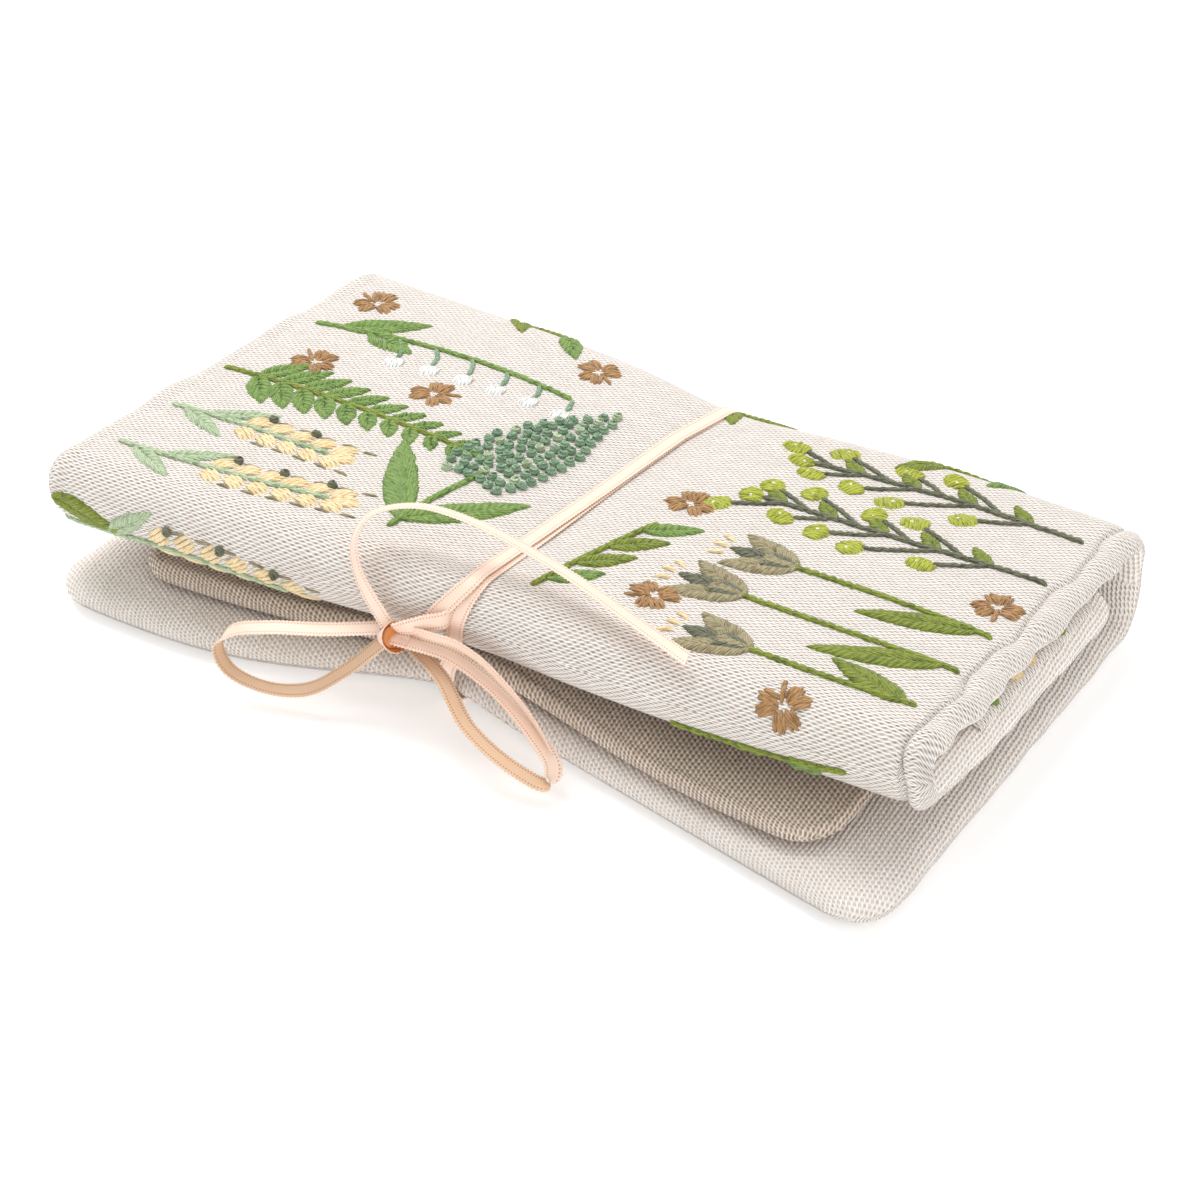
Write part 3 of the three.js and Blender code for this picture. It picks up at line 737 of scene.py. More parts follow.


# Each thread has a base colour and a darker tone; the darker tone also serves as painted shade in the grooves
# between strands
THREAD_COLOURS = {
    "leaf": ((138, 168, 84), (86, 120, 46)),
    "moss": ((142, 156, 52), (92, 108, 28)),
    "sage": ((150, 178, 146), (100, 136, 104)),
    "pale": ((196, 212, 176), (150, 172, 132)),
    "lime": ((190, 196, 66), (142, 150, 34)),
    "olive": ((118, 120, 94), (76, 78, 60)),
    "stone": ((178, 166, 128), (130, 118, 84)),
    "tan": ((190, 146, 94), (140, 100, 58)),
    "cream": ((254, 234, 190), (236, 204, 146)),
    "white": ((254, 253, 250), (228, 226, 220)),
}
THREADS = [cotton("thread_" + name, *pair) for name, pair in THREAD_COLOURS.items()]
THREAD_NAMES = list(THREAD_COLOURS)


# Padded cover strip, in three pieces that meet at the middle of the spine and at the front of the fold


def crease(start_y, start_z, end_y, end_z):
    """Where the cloth starts and ends its bend."""
    return {"start": tuple(to_frame((0.0, start_y, start_z))), "end": tuple(to_frame((0.0, end_y, end_z)))}


def strip_piece(name, start, stop, arcs, rims):
    """Stretch of the padded strip between two runs."""
    runs = run_steps(start, stop, arcs, rims)
    return pillow(name, runs, strip_half_length(runs), strip_place, outer_offset, inner_offset,
                  [OUTER_LINEN, PLAIN_LINEN])


def make_cover():
    back = strip_piece("cover_back", RUN_START, RUN_SPINE_MIDDLE,
                       [(RUN_BACK, RUN_UPRIGHT_LOW)], [(RUN_START, 1)])
    front = strip_piece("cover_front", RUN_SPINE_MIDDLE, RUN_FOLD_FRONT,
                        [(RUN_UPRIGHT_TOP, 0), (RUN_FOLD, RUN_FOLD_FRONT)], [])
    flap = strip_piece("cover_flap", RUN_FOLD_FRONT, RUN_END,
                       [(RUN_FOLD_FRONT, RUN_FLAP)], [(RUN_END, -1)])
    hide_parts("back_outer", "back_padding", "back_lining")
    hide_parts("spine_outer", "spine_padding", "spine_lining",
                "front_outer", "front_padding", "front_lining")
    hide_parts("flap_outer", "flap_padding", "flap_lining")
    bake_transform(back)
    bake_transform(front)
    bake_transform(flap)


# Pocket on the flap's inner face and needle leaf


def pocket_place(x, depth, offset):
    run = RUN_END - POCKET_INSET - POCKET_DEPTH + depth
    return strip_place(x, run, -inner_offset(x, run) - POCKET_LIFT - POCKET_THICK / 2 + offset)


def pocket_top(x, depth):
    return pocket_place(x, depth, -POCKET_THICK / 2)


def pocket_frame(x, depth):
    return surface_frame(pocket_top, x, depth, -1)


def pocket_thickness(x, depth):
    end = POCKET_HALF_LENGTH - np.abs(x)
    near = np.minimum(end, np.minimum(depth, POCKET_DEPTH - depth))
    return POCKET_THICK / 2 * roll(near, POCKET_ROLL)


def make_pocket():
    edge = np.array(POCKET_EDGE)
    inside = np.linspace(POCKET_BORDER, POCKET_DEPTH - POCKET_BORDER, POCKET_STATIONS)
    depths = np.concatenate([edge, inside, POCKET_DEPTH - edge[::-1]])
    half_lengths = np.full(len(depths), POCKET_HALF_LENGTH)
    made = pillow("flap_pocket_cloth", depths, half_lengths, pocket_place, pocket_thickness, pocket_thickness,
                  [OUTER_LINEN, OUTER_LINEN])
    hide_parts("flap_pocket")
    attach(made, "tuck_flap")


def leaf_half_length(depth):
    return rounded_half_length(LEAF_LENGTH / 2, LEAF_CORNER, depth)


def leaf_place(x, depth, offset):
    share = depth / LEAF_SHORTEST
    y = lerp(leaf_front_y(x), LEAF_BACK_Y, share)
    z = lerp(LEAF_Z, LEAF_SEWN_Z, smoothstep(share, LEAF_DIP_SHARE, 1))
    ripple = wave(x, *LEAF_RIPPLE) * wave(share, *LEAF_RIPPLE_DEEP) * (1 - share)
    return settle(x, y, z + ripple - offset)


def leaf_thickness(x, depth):
    """Half thickness of the leaf, with a seam and a rim that thin to the right."""
    end = np.maximum(leaf_half_length(depth) - np.abs(x), 0)
    near = np.minimum(end, depth)
    thin = smoothstep(x, LEAF_FULL_X, LEAF_THIN_X)
    inset = lerp(LEAF_SEAM_INSET, LEAF_RIGHT_INSET, thin)
    seam = LEAF_SEAM_DIP * bell(near - inset, LEAF_SEAM_REACH)
    rim = lerp(LEAF_RIM_PUFF, LEAF_RIGHT_PUFF, thin) * bell(near - inset / 2, LEAF_PUFF_SHARE * inset)
    return LEAF_HALF * roll(end, LEAF_RIM_ROLL) * roll(depth, LEAF_RIM_ROLL) * (1 - seam + rim)


def make_leaf():
    stations = np.arange(END_INSETS[-1], LEAF_SHORTEST, STATION_STEP)
    depths = np.unique(np.concatenate([END_INSETS, stations, [LEAF_SHORTEST]]))
    # The leaf wears the darker copy of the lining, painted shade
    made = pillow("needle_leaf_page", depths, leaf_half_length(depths), leaf_place,
                  leaf_thickness, leaf_thickness, [SHADED_LEAF_LINEN, SHADED_LEAF_LINEN])
    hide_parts("leaf_upper", "leaf_felt", "leaf_lower")
    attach(made, "needle_leaf")


make_cover()
make_pocket()
make_leaf()


# Embroidery: every stitch is a small tube of thread on the cloth. Places are complex numbers, x + run j.
STITCH_SHARES = np.linspace(0, 1, 7)
STITCH_RISE = np.sin(math.pi * STITCH_SHARES) ** 0.6
STITCH_TAPER = lerp(0.55, 1, STITCH_RISE)
STITCH_LIFT = lerp(-0.7, 0.75, STITCH_RISE)
STITCH_FLAT = 0.7
STITCH_SHAKE = 0.1
UNDERSIDE_FULLNESS = 0.34
STEM_WIDTH = 1.65
STEM_STEP = 1.8
STEM_REACH = np.array([-0.35, 1.45])
STEM_SLANT = 0.2
STEM_THREAD = 0.8
FILL_STEP = 0.78
LEAF_THREAD = 1.0
LEAF_TIP_FROM = 0.72
LEAF_FIRST = 0.6
LEAF_SHAKE = 0.3
LEAF_BULGE = 0.8
LEAF_VEIN_SLANT = 0.24
LEAF_VEIN_CROSS = 0.06
OVAL_THREAD = 1.05
OVAL_ROUND = 0.8
COIL_SHARES = np.linspace(0, 1, 17)
COIL_TURNS = 1.9
COIL_REACH = lerp(0.56, 0.2, COIL_SHARES)
COIL_LIFT = lerp(0.4, 1.7, COIL_SHARES)
COIL_THREAD = 0.46
COIL_FLAT = 0.9
TUBE_SIDES = 6
TUBE_CAP = np.array([[0, 1, 2, 5], [2, 3, 4, 5]])
TONE_OFFSET = 7.3
PATH_POINTS = 40
JITTER = np.random.default_rng(11)


class Embroidery:
    """Collects the threads of one region of the cloth and makes one mesh of them."""

    def __init__(self, fullness=1.0):
        self.threads = {}
        self.fullness = fullness

    def thread(self, places, lift, half_width, half_height, colour):
        parts = (places.real, places.imag, self.fullness * lift, half_width, self.fullness * half_height)
        row = np.stack(np.broadcast_arrays(*parts), axis=-1)
        self.threads.setdefault(len(places), []).append((row, THREAD_NAMES.index(colour)))

    def stitch(self, start, stop, width, colour):
        """Straight stitch that dives into the cloth at both ends."""
        start, stop = (place + complex(*JITTER.normal(0, STITCH_SHAKE, 2)) for place in (start, stop))
        places = start + (stop - start) * STITCH_SHARES
        height = STITCH_FLAT * width / 2
        self.thread(places, height * STITCH_LIFT, width / 2 * STITCH_TAPER, height * STITCH_TAPER, colour)

    def knot(self, centre, radius, colour):
        """French knot: thread coiled nearly twice, smaller and higher as it turns."""
        angle = 2 * math.pi * (COIL_TURNS * COIL_SHARES + JITTER.random())
        places = centre + COIL_REACH * radius * np.exp(1j * angle)
        tube = COIL_THREAD * radius
        self.thread(places, tube * COIL_LIFT, tube, tube * COIL_FLAT, colour)

    def stem(self, path, width, colour):
        """Stem stitch: slanted stitches that overlap like a rope."""
        distance = np.concatenate([[0], np.cumsum(np.abs(np.diff(path)))])
        count = max(2, round(distance[-1] / STEM_STEP))
        for i in range(count):
            ends = np.clip((i + STEM_REACH) / count, 0, 1) * distance[-1]
            start, stop = np.interp(ends, distance, path)
            slant = 1j * (stop - start) / abs(stop - start) * STEM_SLANT * width
            self.stitch(start - slant, stop + slant, STEM_THREAD * width, colour)

    def stalk(self, line, colour, width=1.0):
        """Stem along a line given by its base, heading, length and bend, in shares of the usual width."""
        path = bent_path(*line)
        self.stem(path, width * STEM_WIDTH, colour)
        return path

    def leaf(self, base, tip, width, colour):
        """Fishbone leaf: slanted stitches from both edges down to the middle vein."""
        axis = tip - base
        side = 1j * axis / abs(axis) * width / 2
        count = max(4, round(abs(axis) / FILL_STEP))
        self.stitch(base + LEAF_TIP_FROM * axis, tip, LEAF_THREAD, colour)
        for i in range(count):
            share = (i + LEAF_FIRST + LEAF_SHAKE * JITTER.random()) / count
            bulge = math.sin(math.pi * share**LEAF_BULGE) ** LEAF_BULGE
            root = base + axis * max(share - LEAF_VEIN_SLANT, 0)
            for way in (-1, 1):
                edge = base + axis * share + way * side * bulge
                self.stitch(edge, root - way * side * LEAF_VEIN_CROSS, LEAF_THREAD, colour)

    def leaf_on(self, path, share, degrees, reach, width, colour):
        """Leaf that leaves a path at a share of it, turned from its direction."""
        place, way = path_frame(path, share)
        self.leaf(place, place + turned(way, degrees) * reach, width, colour)

    def oval(self, centre, way, length, width, colour):
        """Satin stitch: parallel stitches that fill an oval along a way."""
        count = max(2, round(width / FILL_STEP))
        for i in range(count):
            across = (i + 0.5) / count * 2 - 1
            reach = length / 2 * math.sqrt(1 - OVAL_ROUND * across**2) * way
            middle = centre + 1j * way * across * width / 2
            self.stitch(middle - reach, middle + reach, OVAL_THREAD, colour)

    def make(self, name, surface):
        parts, slots, count = [], [], 0
        for rows in self.threads.values():
            vertices, faces, uv = thread_tubes(np.stack([row for row, _ in rows]), surface)
            parts.append((vertices, faces + count, uv))
            slots.append(np.repeat([slot for _, slot in rows], len(faces) // len(rows)))
            count += len(vertices)
        vertices, faces, uv = (np.concatenate(part) for part in zip(*parts))
        return make_object(name, vertices, faces, uv, THREADS, np.concatenate(slots))


def thread_tubes(rows, surface):
    """Tubes for threads of equal point counts: rows hold x, run, lift, half width and half height."""
    x, run, lift, half_width, half_height = np.moveaxis(rows, -1, 0)
    point, normal = surface(x, run)
    centre = point + normal * lift[..., None]
    along = unit(np.gradient(centre, axis=1))
    side = unit(np.cross(normal, along))
    turn = np.arange(TUBE_SIDES) / TUBE_SIDES
    angle = 2 * math.pi * turn - QUARTER
    ring = centre[:, :, None] + side[:, :, None] * (half_width[..., None] * np.cos(angle))[..., None]
    ring = ring + normal[:, :, None] * (half_height[..., None] * np.sin(angle))[..., None]
    threads, points = x.shape
    quads, _ = ring_faces(points, TUBE_SIDES)
    last = (points - 1) * TUBE_SIDES
    quads = np.concatenate([quads[:, ::-1], TUBE_CAP, last + TUBE_CAP[:, ::-1]])
    starts = np.arange(threads)[:, None, None] * points * TUBE_SIDES
    distance = travelled(centre, 1) + np.arange(threads)[:, None] * TONE_OFFSET
    uv = np.stack(np.broadcast_arrays(distance[..., None], turn), axis=-1)
    return ring.reshape(-1, 3), (quads + starts).reshape(-1, 4), uv.reshape(-1, 2)


def bent_path(base, heading, length, bend):
    """Line that starts at a heading in degrees and turns evenly by bend degrees."""
    angle = np.radians(heading + bend * np.linspace(0, 1, PATH_POINTS))
    steps = np.exp(1j * angle) * length / (PATH_POINTS - 1)
    return base + np.concatenate([[0], np.cumsum(steps[:-1])])


def path_frame(path, share):
    """Place and direction on a path at a share of its points."""
    at = share * (len(path) - 1)
    low = min(int(at), len(path) - 2)
    step = path[low + 1] - path[low]
    return path[low] + (at - low) * step, step / abs(step)


def path_frames(path, first, last, count):
    """Number, share, place and direction at even shares of a path."""
    for i in range(count):
        share = first + (last - first) * i / (count - 1)
        yield i, share, *path_frame(path, share)


def turned(way, degrees):
    return way * np.exp(1j * math.radians(degrees))


def heading_of(way):
    return math.degrees(np.angle(way))


# Motifs: each takes the work, the line of its stem and its own counts and sizes. Turns are in degrees.


def fern(work, line, pairs, leaflet, turn=52, taper=0.6, slim=0.38, least=0.8, gap=0.6):
    """Pairs of leaflets that get shorter along a stem."""
    path = work.stalk(line, "moss")
    for _, share, place, way in path_frames(path, 0.14, 0.96, pairs):
        reach = leaflet * (1 - taper * share)
        for side in (-1, 1):
            leaf_way = turned(way, side * turn)
            work.leaf(place + leaf_way * gap, place + leaf_way * reach, slim * reach + least, "leaf")
    work.leaf_on(path, 1, 0, reach=leaflet * 0.45, width=2.6, colour="leaf")


def wheat(work, line, grains, turn=36, grain_at=4.2, grain_width=3.4, beard_turn=26, beard=(7.6, 11)):
    """Ear of satin grains with beards and a few dark knots, on a stem with two leaves."""
    path = work.stalk(line, "pale")
    for i, _, place, way in path_frames(path, 0.42, 0.96, grains):
        for side in (-1, 1):
            grain_way = turned(way, side * turn)
            beard_tip = place + turned(way, side * beard_turn) * beard[1]
            work.oval(place + grain_way * grain_at, grain_way, length=6.4, width=grain_width, colour="cream")
            work.stitch(place + grain_way * beard[0], beard_tip, width=0.7, colour="stone")
        if i % 2:
            work.knot(place - 4.6j * way, radius=1.2, colour="olive")
    place, way = path_frame(path, 1)
    work.oval(place + way * 3.2, way, length=6.8, width=grain_width, colour="cream")
    for share, leaf_turn in ((0.1, 28), (0.24, -28)):
        work.leaf_on(path, share, leaf_turn, reach=14, width=3.8, colour="pale")


def hyacinth(work, line, rows, widest, pitch=2.55, shake=0.4, droop=0.2, knot_radius=1.3):
    """Cone of French knots on a stem with two long leaves."""
    path = bent_path(*line)
    length = line[2]
    work.stem(path[:18], STEM_WIDTH, "leaf")
    for i, _, place, way in path_frames(path, 0.4, 1.0, rows):
        count = max(1, round(widest * math.sin(math.pi * (0.3 + 0.66 * i / (rows - 1)))))
        for k in range(count):
            across = (k - (count - 1) / 2) * pitch
            shaken = place + complex(*JITTER.uniform(-shake, shake, 2))
            colour = "pale" if (i + 2 * k) % 7 == 0 else "sage"
            work.knot(shaken + 1j * way * across - way * abs(across) * droop, knot_radius, colour)
    for leaf_turn, reach in ((-36, 0.5), (36, 0.4)):
        work.leaf_on(path, 0.06, leaf_turn, reach * length, width=7.0, colour="leaf")


def berries(work, line, branches, turn=38, bend=14):
    """Branching sprig with a round satin berry at each tip."""
    path = work.stalk(line, "olive")
    for i, share, place, way in path_frames(path, 0.2, 0.92, branches):
        side = 1 if i % 2 else -1
        reach = (11 + 2.5 * (i % 3)) * (1.1 - 0.45 * share)
        berry(work, work.stalk((place, heading_of(way) + side * turn, reach, -side * bend), "olive", 0.85))
        if i % 2 == 0:
            work.leaf_on(path, share, -side * 46, reach=7.5, width=3.4, colour="moss")
    berry(work, path)


def berry(work, path, out=2, shine=0.8):
    """Round berry at the end of a path, with a white stitch of shine."""
    centre = path[-1] + path_frame(path, 1)[1] * out
    way = np.exp(1j * JITTER.uniform(0, 2 * math.pi))
    work.oval(centre, way, length=5.8, width=5.6, colour="lime")
    glint = centre + shine * 1j * way
    work.stitch(glint - way * shine, glint + way * shine, width=1.1, colour="white")


def tulip(work, line, leaf_side, petal_turn=27, petal=13.5):
    """Two outer petals, a middle one and cream tips, on a stem with one long leaf."""
    path = work.stalk(line, "moss")
    place, way = path_frame(path, 1)
    for side in (-1, 1):
        tip = place + turned(way, side * petal_turn) * 14.5
        work.leaf(place - way * 0.5, tip, width=6.6, colour="stone")
    work.leaf(place, place + way * petal, width=6.2, colour="olive")
    for side in (-1, 0, 1):
        tip = place + turned(way, 13 * side) * 17
        work.stitch(place + turned(way, 10 * side) * petal, tip, width=1.1, colour="cream")
    work.leaf_on(path, 0.08, leaf_side * 22, reach=line[2] * 0.55, width=6.4, colour="moss")


def bells(work, line, count, side, turn=40, bend=45):
    """Arching stem with white bells that hang to one side."""
    path = work.stalk(line, "leaf")
    for _, share, place, way in path_frames(path, 0.3, 1.0, count):
        reach = 10 - 4.5 * share
        hung = work.stalk((place, heading_of(way) + side * turn, reach, side * bend), "sage", 0.75)
        hang = path_frame(hung, 1)[1]
        work.oval(hung[-1] + hang * 2.0, hang, length=4.8, width=3.8, colour="white")
    for share, leaf_turn, reach in ((0.1, -24, 19), (0.2, 24, 13)):
        work.leaf_on(path, share, side * leaf_turn, reach, width=7.0, colour="leaf")


def vine(work, line, leaves, sides=(-1, 1), turn=38):
    """Stem with single leaves in turn on its sides."""
    path = work.stalk(line, "moss")
    for i in range(leaves):
        colour = "moss" if i % 3 else "leaf"
        side = sides[i % len(sides)]
        work.leaf_on(path, (i + 0.5) / leaves, side * turn, reach=12, width=5.2, colour=colour)


def clovers(work, *placed, turn=112, lobe_turn=21):
    """Three heart-shaped leaves on a short stalk at each place and heading."""
    for centre, heading in placed:
        way = np.exp(1j * math.radians(heading))
        for leaf_turn in (-turn, 0, turn):
            for side in (-1, 1):
                lobe = turned(turned(way, leaf_turn), side * lobe_turn)
                work.oval(centre + lobe * 3.1, lobe, length=5.0, width=2.6, colour="tan")
        work.stem(bent_path(centre - way * 0.4, heading + 180, length=5.5, bend=20), width=1.1, colour="tan")


# Layouts: each motif at its own place
FRONT_MOTIFS = [
    (bells, (-87 + 23j, -16, 64, 26), 6, 1),
    (fern, (-90 + 49j, -6, 60, 14), 10, 13),
    (wheat, (-88 + 67j, -4, 38, 6), 5),
    (wheat, (-87 + 84j, 0, 48, -8), 6),
    (hyacinth, (-24 + 84j, -88, 66, 18), 15, 8),
    (berries, (87 + 9j, 180, 58, -4), 8),
    (berries, (88 + 29j, 178, 60, -2), 9),
    (tulip, (88 + 54j, 186, 42, -8), -1),
    (tulip, (88 + 69j, 183, 45, -2), -1),
    (tulip, (87 + 84j, 178, 34, 4), 1),
    (vine, (10 + 88j, -84, 36, 12), 4, (1,)),
    (vine, (-66 - 13j, 24, 30, -16), 4),
    (vine, (-8 - 14j, 40, 24, -30), 3),
    (vine, (72 - 12j, 156, 26, 16), 3),
    (clovers, (-76 + 37j, 30), (-48 + 34j, 150), (-26 + 5j, 200), (18 + 42j, 140),
     (84 + 43j, 250), (30 + 77j, 320), (66 + 95j, 60), (-82 + 8j, 10)),
]
FLAP_MOTIFS = [
    (wheat, (-93 + 108j, -11, 54, 22), 6),
    (Embroidery.leaf, -92 + 101j, -74 + 107j, 5.5, "moss"),
    (vine, (80 + 103j, 168, 36, 14), 3, (-1,)),
    (wheat, (-80 + 126j, -4, 52, 10), 6),
    (bells, (-84 + 150j, -4, 70, 22), 8, 1),
    (hyacinth, (6 + 182j, -84, 58, 10), 11, 7),
    (berries, (84 + 140j, 176, 62, 10), 9),
    (tulip, (84 + 174j, 184, 46, -6), 1),
    (clovers, (-30 + 150j, 150), (40 + 160j, 200), (-34 + 182j, 80), (-76 + 182j, 140), (72 + 158j, 20)),
]
BACK_MOTIFS = [
    (fern, (-86 - 60j, -6, 66, 16), 10, 13),
    (berries, (-86 - 92j, 4, 60, -10), 9),
    (wheat, (-84 - 122j, 2, 52, 10), 6),
    (hyacinth, (-14 - 128j, 78, 62, 20), 10, 8),
    (bells, (86 - 62j, 186, 62, -16), 8, -1),
    (tulip, (86 - 92j, 176, 48, 8), 1),
    (tulip, (86 - 112j, 184, 44, -8), -1),
    (vine, (84 - 130j, 180, 66, 6), 8),
    (clovers, (-70 - 76j, 30), (-30 - 76j, 150), (34 - 84j, 200), (-58 - 108j, 80), (26 - 52j, 140),
     (38 - 120j, 20)),
]


def pocket_motifs(end):
    """Motifs of one end of the pocket, of which only the ends show."""
    return [
        (fern, (end * 84 + 26j, 90 + 90 * end, 40, 14), 8, 10),
        (wheat, (end * 84 + 44j, 90 + 90 * end, 46, 10), 5),
        (Embroidery.leaf, end * 92 + 40j, end * 80 + 34j, 7, "moss"),
        (Embroidery.leaf, end * 92 + 9j, end * 76 + 5j, 6, "leaf"),
        (Embroidery.oval, end * 90 + 20j, 1, 5, 4.4, "cream"),
        (Embroidery.oval, end * 90 + 26j, 1, 5, 4.4, "cream"),
    ]


def embroider(name, motifs, surface=cloth_frame, fullness=1.0):
    """All motifs of one region as one mesh."""
    work = Embroidery(fullness)
    for motif, *given in motifs:
        motif(work, *given)
    return work.make(name, surface)


# The back's stitches are flattened by the book's weight
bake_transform(embroider("embroidery_front", FRONT_MOTIFS))
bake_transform(embroider("embroidery_flap", FLAP_MOTIFS))
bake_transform(embroider("embroidery_back", BACK_MOTIFS, fullness=UNDERSIDE_FULLNESS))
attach(embroider("embroidery_pocket", pocket_motifs(-1) + pocket_motifs(1), pocket_frame), "tuck_flap")


# Ribbon
ACROSS = np.array([-1, -0.93, -0.8, -0.5, -0.2, 0, 0.2, 0.5, 0.8, 0.93, 1])
STRIP_STEP = 0.2
ROUTE_STEPS = 24
TURN_STEPS = 300
DROP_STEPS = 30
RIM_STEPS = 20
UNDER_STEPS = 160
WIDTH_STEP = 0.5
LEAST_GAP = 1e-6


def curve_points(route, steps=ROUTE_STEPS):
    """Centripetal curve through listed points."""
    points = np.asarray(route, float)
    points = np.concatenate([[2 * points[0] - points[1]], points, [2 * points[-1] - points[-2]]])
    made = []
    for i in range(len(points) - 3):
        pieces = points[i:i + 4]
        gaps = np.linalg.norm(np.diff(pieces, axis=0), axis=1)
        knots = np.cumsum([0, *np.maximum(gaps, LEAST_GAP) ** 0.5])
        t = np.linspace(knots[1], knots[2], steps, endpoint=False)[:, None]
        for spans in (((0, 1), (1, 2), (2, 3)), ((0, 2), (1, 3)), ((1, 2),)):
            pieces = [lerp(pieces[k], pieces[k + 1], (t - knots[low]) / (knots[high] - knots[low]))
                      for k, (low, high) in enumerate(spans)]
        made.extend(pieces)
    return np.concatenate(made + [points[-2:-1]])


def even_steps(centres, widths):
    """Samples a strip again at even distances, fine enough for its picot edge."""
    distance = travelled(centres)
    at = np.linspace(0, distance[-1], int(distance[-1] / STRIP_STEP) + 1)
    columns = np.concatenate([centres, widths], axis=1).T
    again = np.stack([np.interp(at, distance, column) for column in columns], axis=-1)
    return again[:, :3], unit(again[:, 3:]), at


def ribbon_strip(name, centres, widths, front=SATIN, back=SATIN, cut=0.0):
    """Flat ribbon with picot edges along a line of centres, its width turned the given ways."""
    centres, widths, at = even_steps(centres, widths)
    along = unit(np.gradient(centres, axis=0))
    widths = unit(widths - (widths * along).sum(-1, keepdims=True) * along)
    faces_way = np.cross(along, widths)
    picot = PICOT_DEPTH * np.sin(2 * math.pi * at / PICOT_PITCH)
    half = RIBBON_WIDTH / 2
    edge = np.abs(ACROSS) > PICOT_FROM
    side = ACROSS * half + np.sign(ACROSS) * edge * picot[:, None]
    cup = RIBBON_CUP * (ACROSS**2 - RIBBON_CUP_LEVEL)
    end_cut = cut * ACROSS * half * (at[:, None] / at[-1]) ** CUT_SHARPNESS
    rims = RIBBON_THICK / 2 * np.where(edge, PICOT_THIN, 1.0)
    middle = centres[:, None] + side[..., None] * widths[:, None] + end_cut[..., None] * along[:, None]
    top = middle + (cup + rims)[None, :, None] * faces_way[:, None]
    low = middle + (cup - rims)[None, :, None] * faces_way[:, None]
    points = np.concatenate([top, low[:, ::-1]], axis=1)
    uv = np.stack(np.broadcast_arrays(ACROSS * half, at[:, None]), axis=-1)
    uv = np.concatenate([uv, uv[:, ::-1]], axis=1)
    lines, ring = points.shape[:2]
    faces, place = ring_faces(lines, ring)
    count = len(ACROSS)
    k = np.arange(count - 1)
    first = np.stack([k, k + 1, ring - 2 - k, ring - 1 - k], axis=-1)
    last = (lines - 1) * ring + first[:, ::-1]
    on_back = (place >= count) & (place < ring - 1)
    slots = np.concatenate([on_back, np.zeros(len(first) + len(last), int)])
    made = make_object(name, points, np.concatenate([faces, first, last]), uv, [front, back], slots)
    return made


def route_strip(name, node, far_end, route, ways, **looks):
    """A free loop or tail of the ribbon, made as a flat strip along its route."""
    centres = curve_points(route)
    made = ribbon_strip(name, centres, curve_points(ways), **looks)
    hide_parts(node)
    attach(made, "front_cover")
    travelled(centres)[-1] * MM


# Places along each strip of the bow and the ways that its width turns there
LEFT_LOOP_ROUTE = [
    (-16.6, -105.8, 19.4), (-26, -110.6, 18.2), (-37, -115.2, 17), (-44, -117.4, 14.6), (-46.3, -118.6, 11),
    (-43.6, -119.2, 7), (-36.2, -117.6, 4.6), (-28, -114.6, 5.6), (-21.6, -110.4, 10.4),
    (-15.4, -106.8, 17.3),
]
LEFT_LOOP_WAYS = [
    (0.45, -0.87, -0.2), (0.45, -0.87, -0.2), (0.4, -0.9, -0.22), (0.35, -0.9, -0.25), (0.05, -1, 0),
    (0.1, -1, 0), (0.28, -0.95, -0.05), (0.5, -0.83, -0.25), (0.65, -0.7, -0.28), (0.7, -0.65, -0.3),
]
RIGHT_LOOP_ROUTE = [
    (-9.3, -106.7, 19.7), (-0.7, -105.4, 19.2), (9.6, -105.4, 15.6), (19.4, -107.2, 10.4), (25, -109.2, 6.4),
    (25.4, -111.6, 4), (19.4, -113.2, 5.8), (8, -112.2, 10.2), (-1.3, -107.6, 15.2), (-9.4, -105.2, 17.6),
]
RIGHT_LOOP_WAYS = [
    (0.15, -1, -0.2), (0, -1, -0.15), (-0.13, -1, 0), (-0.35, -0.95, 0), (-0.6, -0.78, -0.1),
    (0.1, -1, -0.1), (0, -1, 0), (-0.15, -1, 0.1), (-0.2, -1, 0.15), (-0.2, -1, 0.1),
]
LEFT_TAIL_ROUTE = [
    (-14.2, -106.5, 21.2), (-17.6, -107.4, 27.2), (-20.8, -107, 32.8), (-23, -104.2, 37), (-22.4, -99.8, 40),
    (-16, -94.6, 41.4), (-5, -92.4, 41), (15.6, -93.6, 38.8), (35.4, -97.6, 36.6), (47.6, -100.2, 35.2),
]
LEFT_TAIL_WAYS = [
    (0.75, 0.1, 0.65), (0.83, 0, 0.55), (0.8, -0.25, 0.5), (0.75, -0.4, 0.5), (0.65, -0.68, 0.35),
    (0.35, -0.9, 0.28), (0.05, -0.95, 0.3), (-0.1, -0.95, 0.25), (-0.18, -0.97, 0.18), (-0.2, -0.98, 0.05),
]
RIGHT_TAIL_ROUTE = [
    (-10.2, -105.8, 21.6), (-5, -106, 22.3), (0.5, -105.2, 22.1), (6, -105.2, 20.7),
    (11, -105.6, 18.2), (16, -106.2, 15.2), (20.5, -107.2, 12), (24, -108.4, 8.9),
]
RIGHT_TAIL_WAYS = [
    (0, -0.4, 0.92), (0.1, -0.35, 0.93), (0.2, -0.35, 0.92), (0.25, -0.35, 0.9),
    (0.3, -0.35, 0.88), (0.3, -0.4, 0.86), (0.3, -0.45, 0.84), (0.3, -0.5, 0.8),
]
KNOT_BAR_ROUTE = [
    (-3.4, -101.6, 25.7), (-2.5, -103, 26), (-3, -104.4, 25.8),
    (-6.2, -105.6, 24.6), (-9.2, -106.7, 23.2), (-12, -107.3, 21.9),
]
KNOT_BAR_WAYS = [
    (-0.1, 0.1, 0.98), (-0.1, 0.1, 0.98), (-0.15, 0.1, 0.97),
    (-0.2, 0, 0.97), (-0.2, -0.15, 0.95), (-0.2, -0.5, 0.8),
]
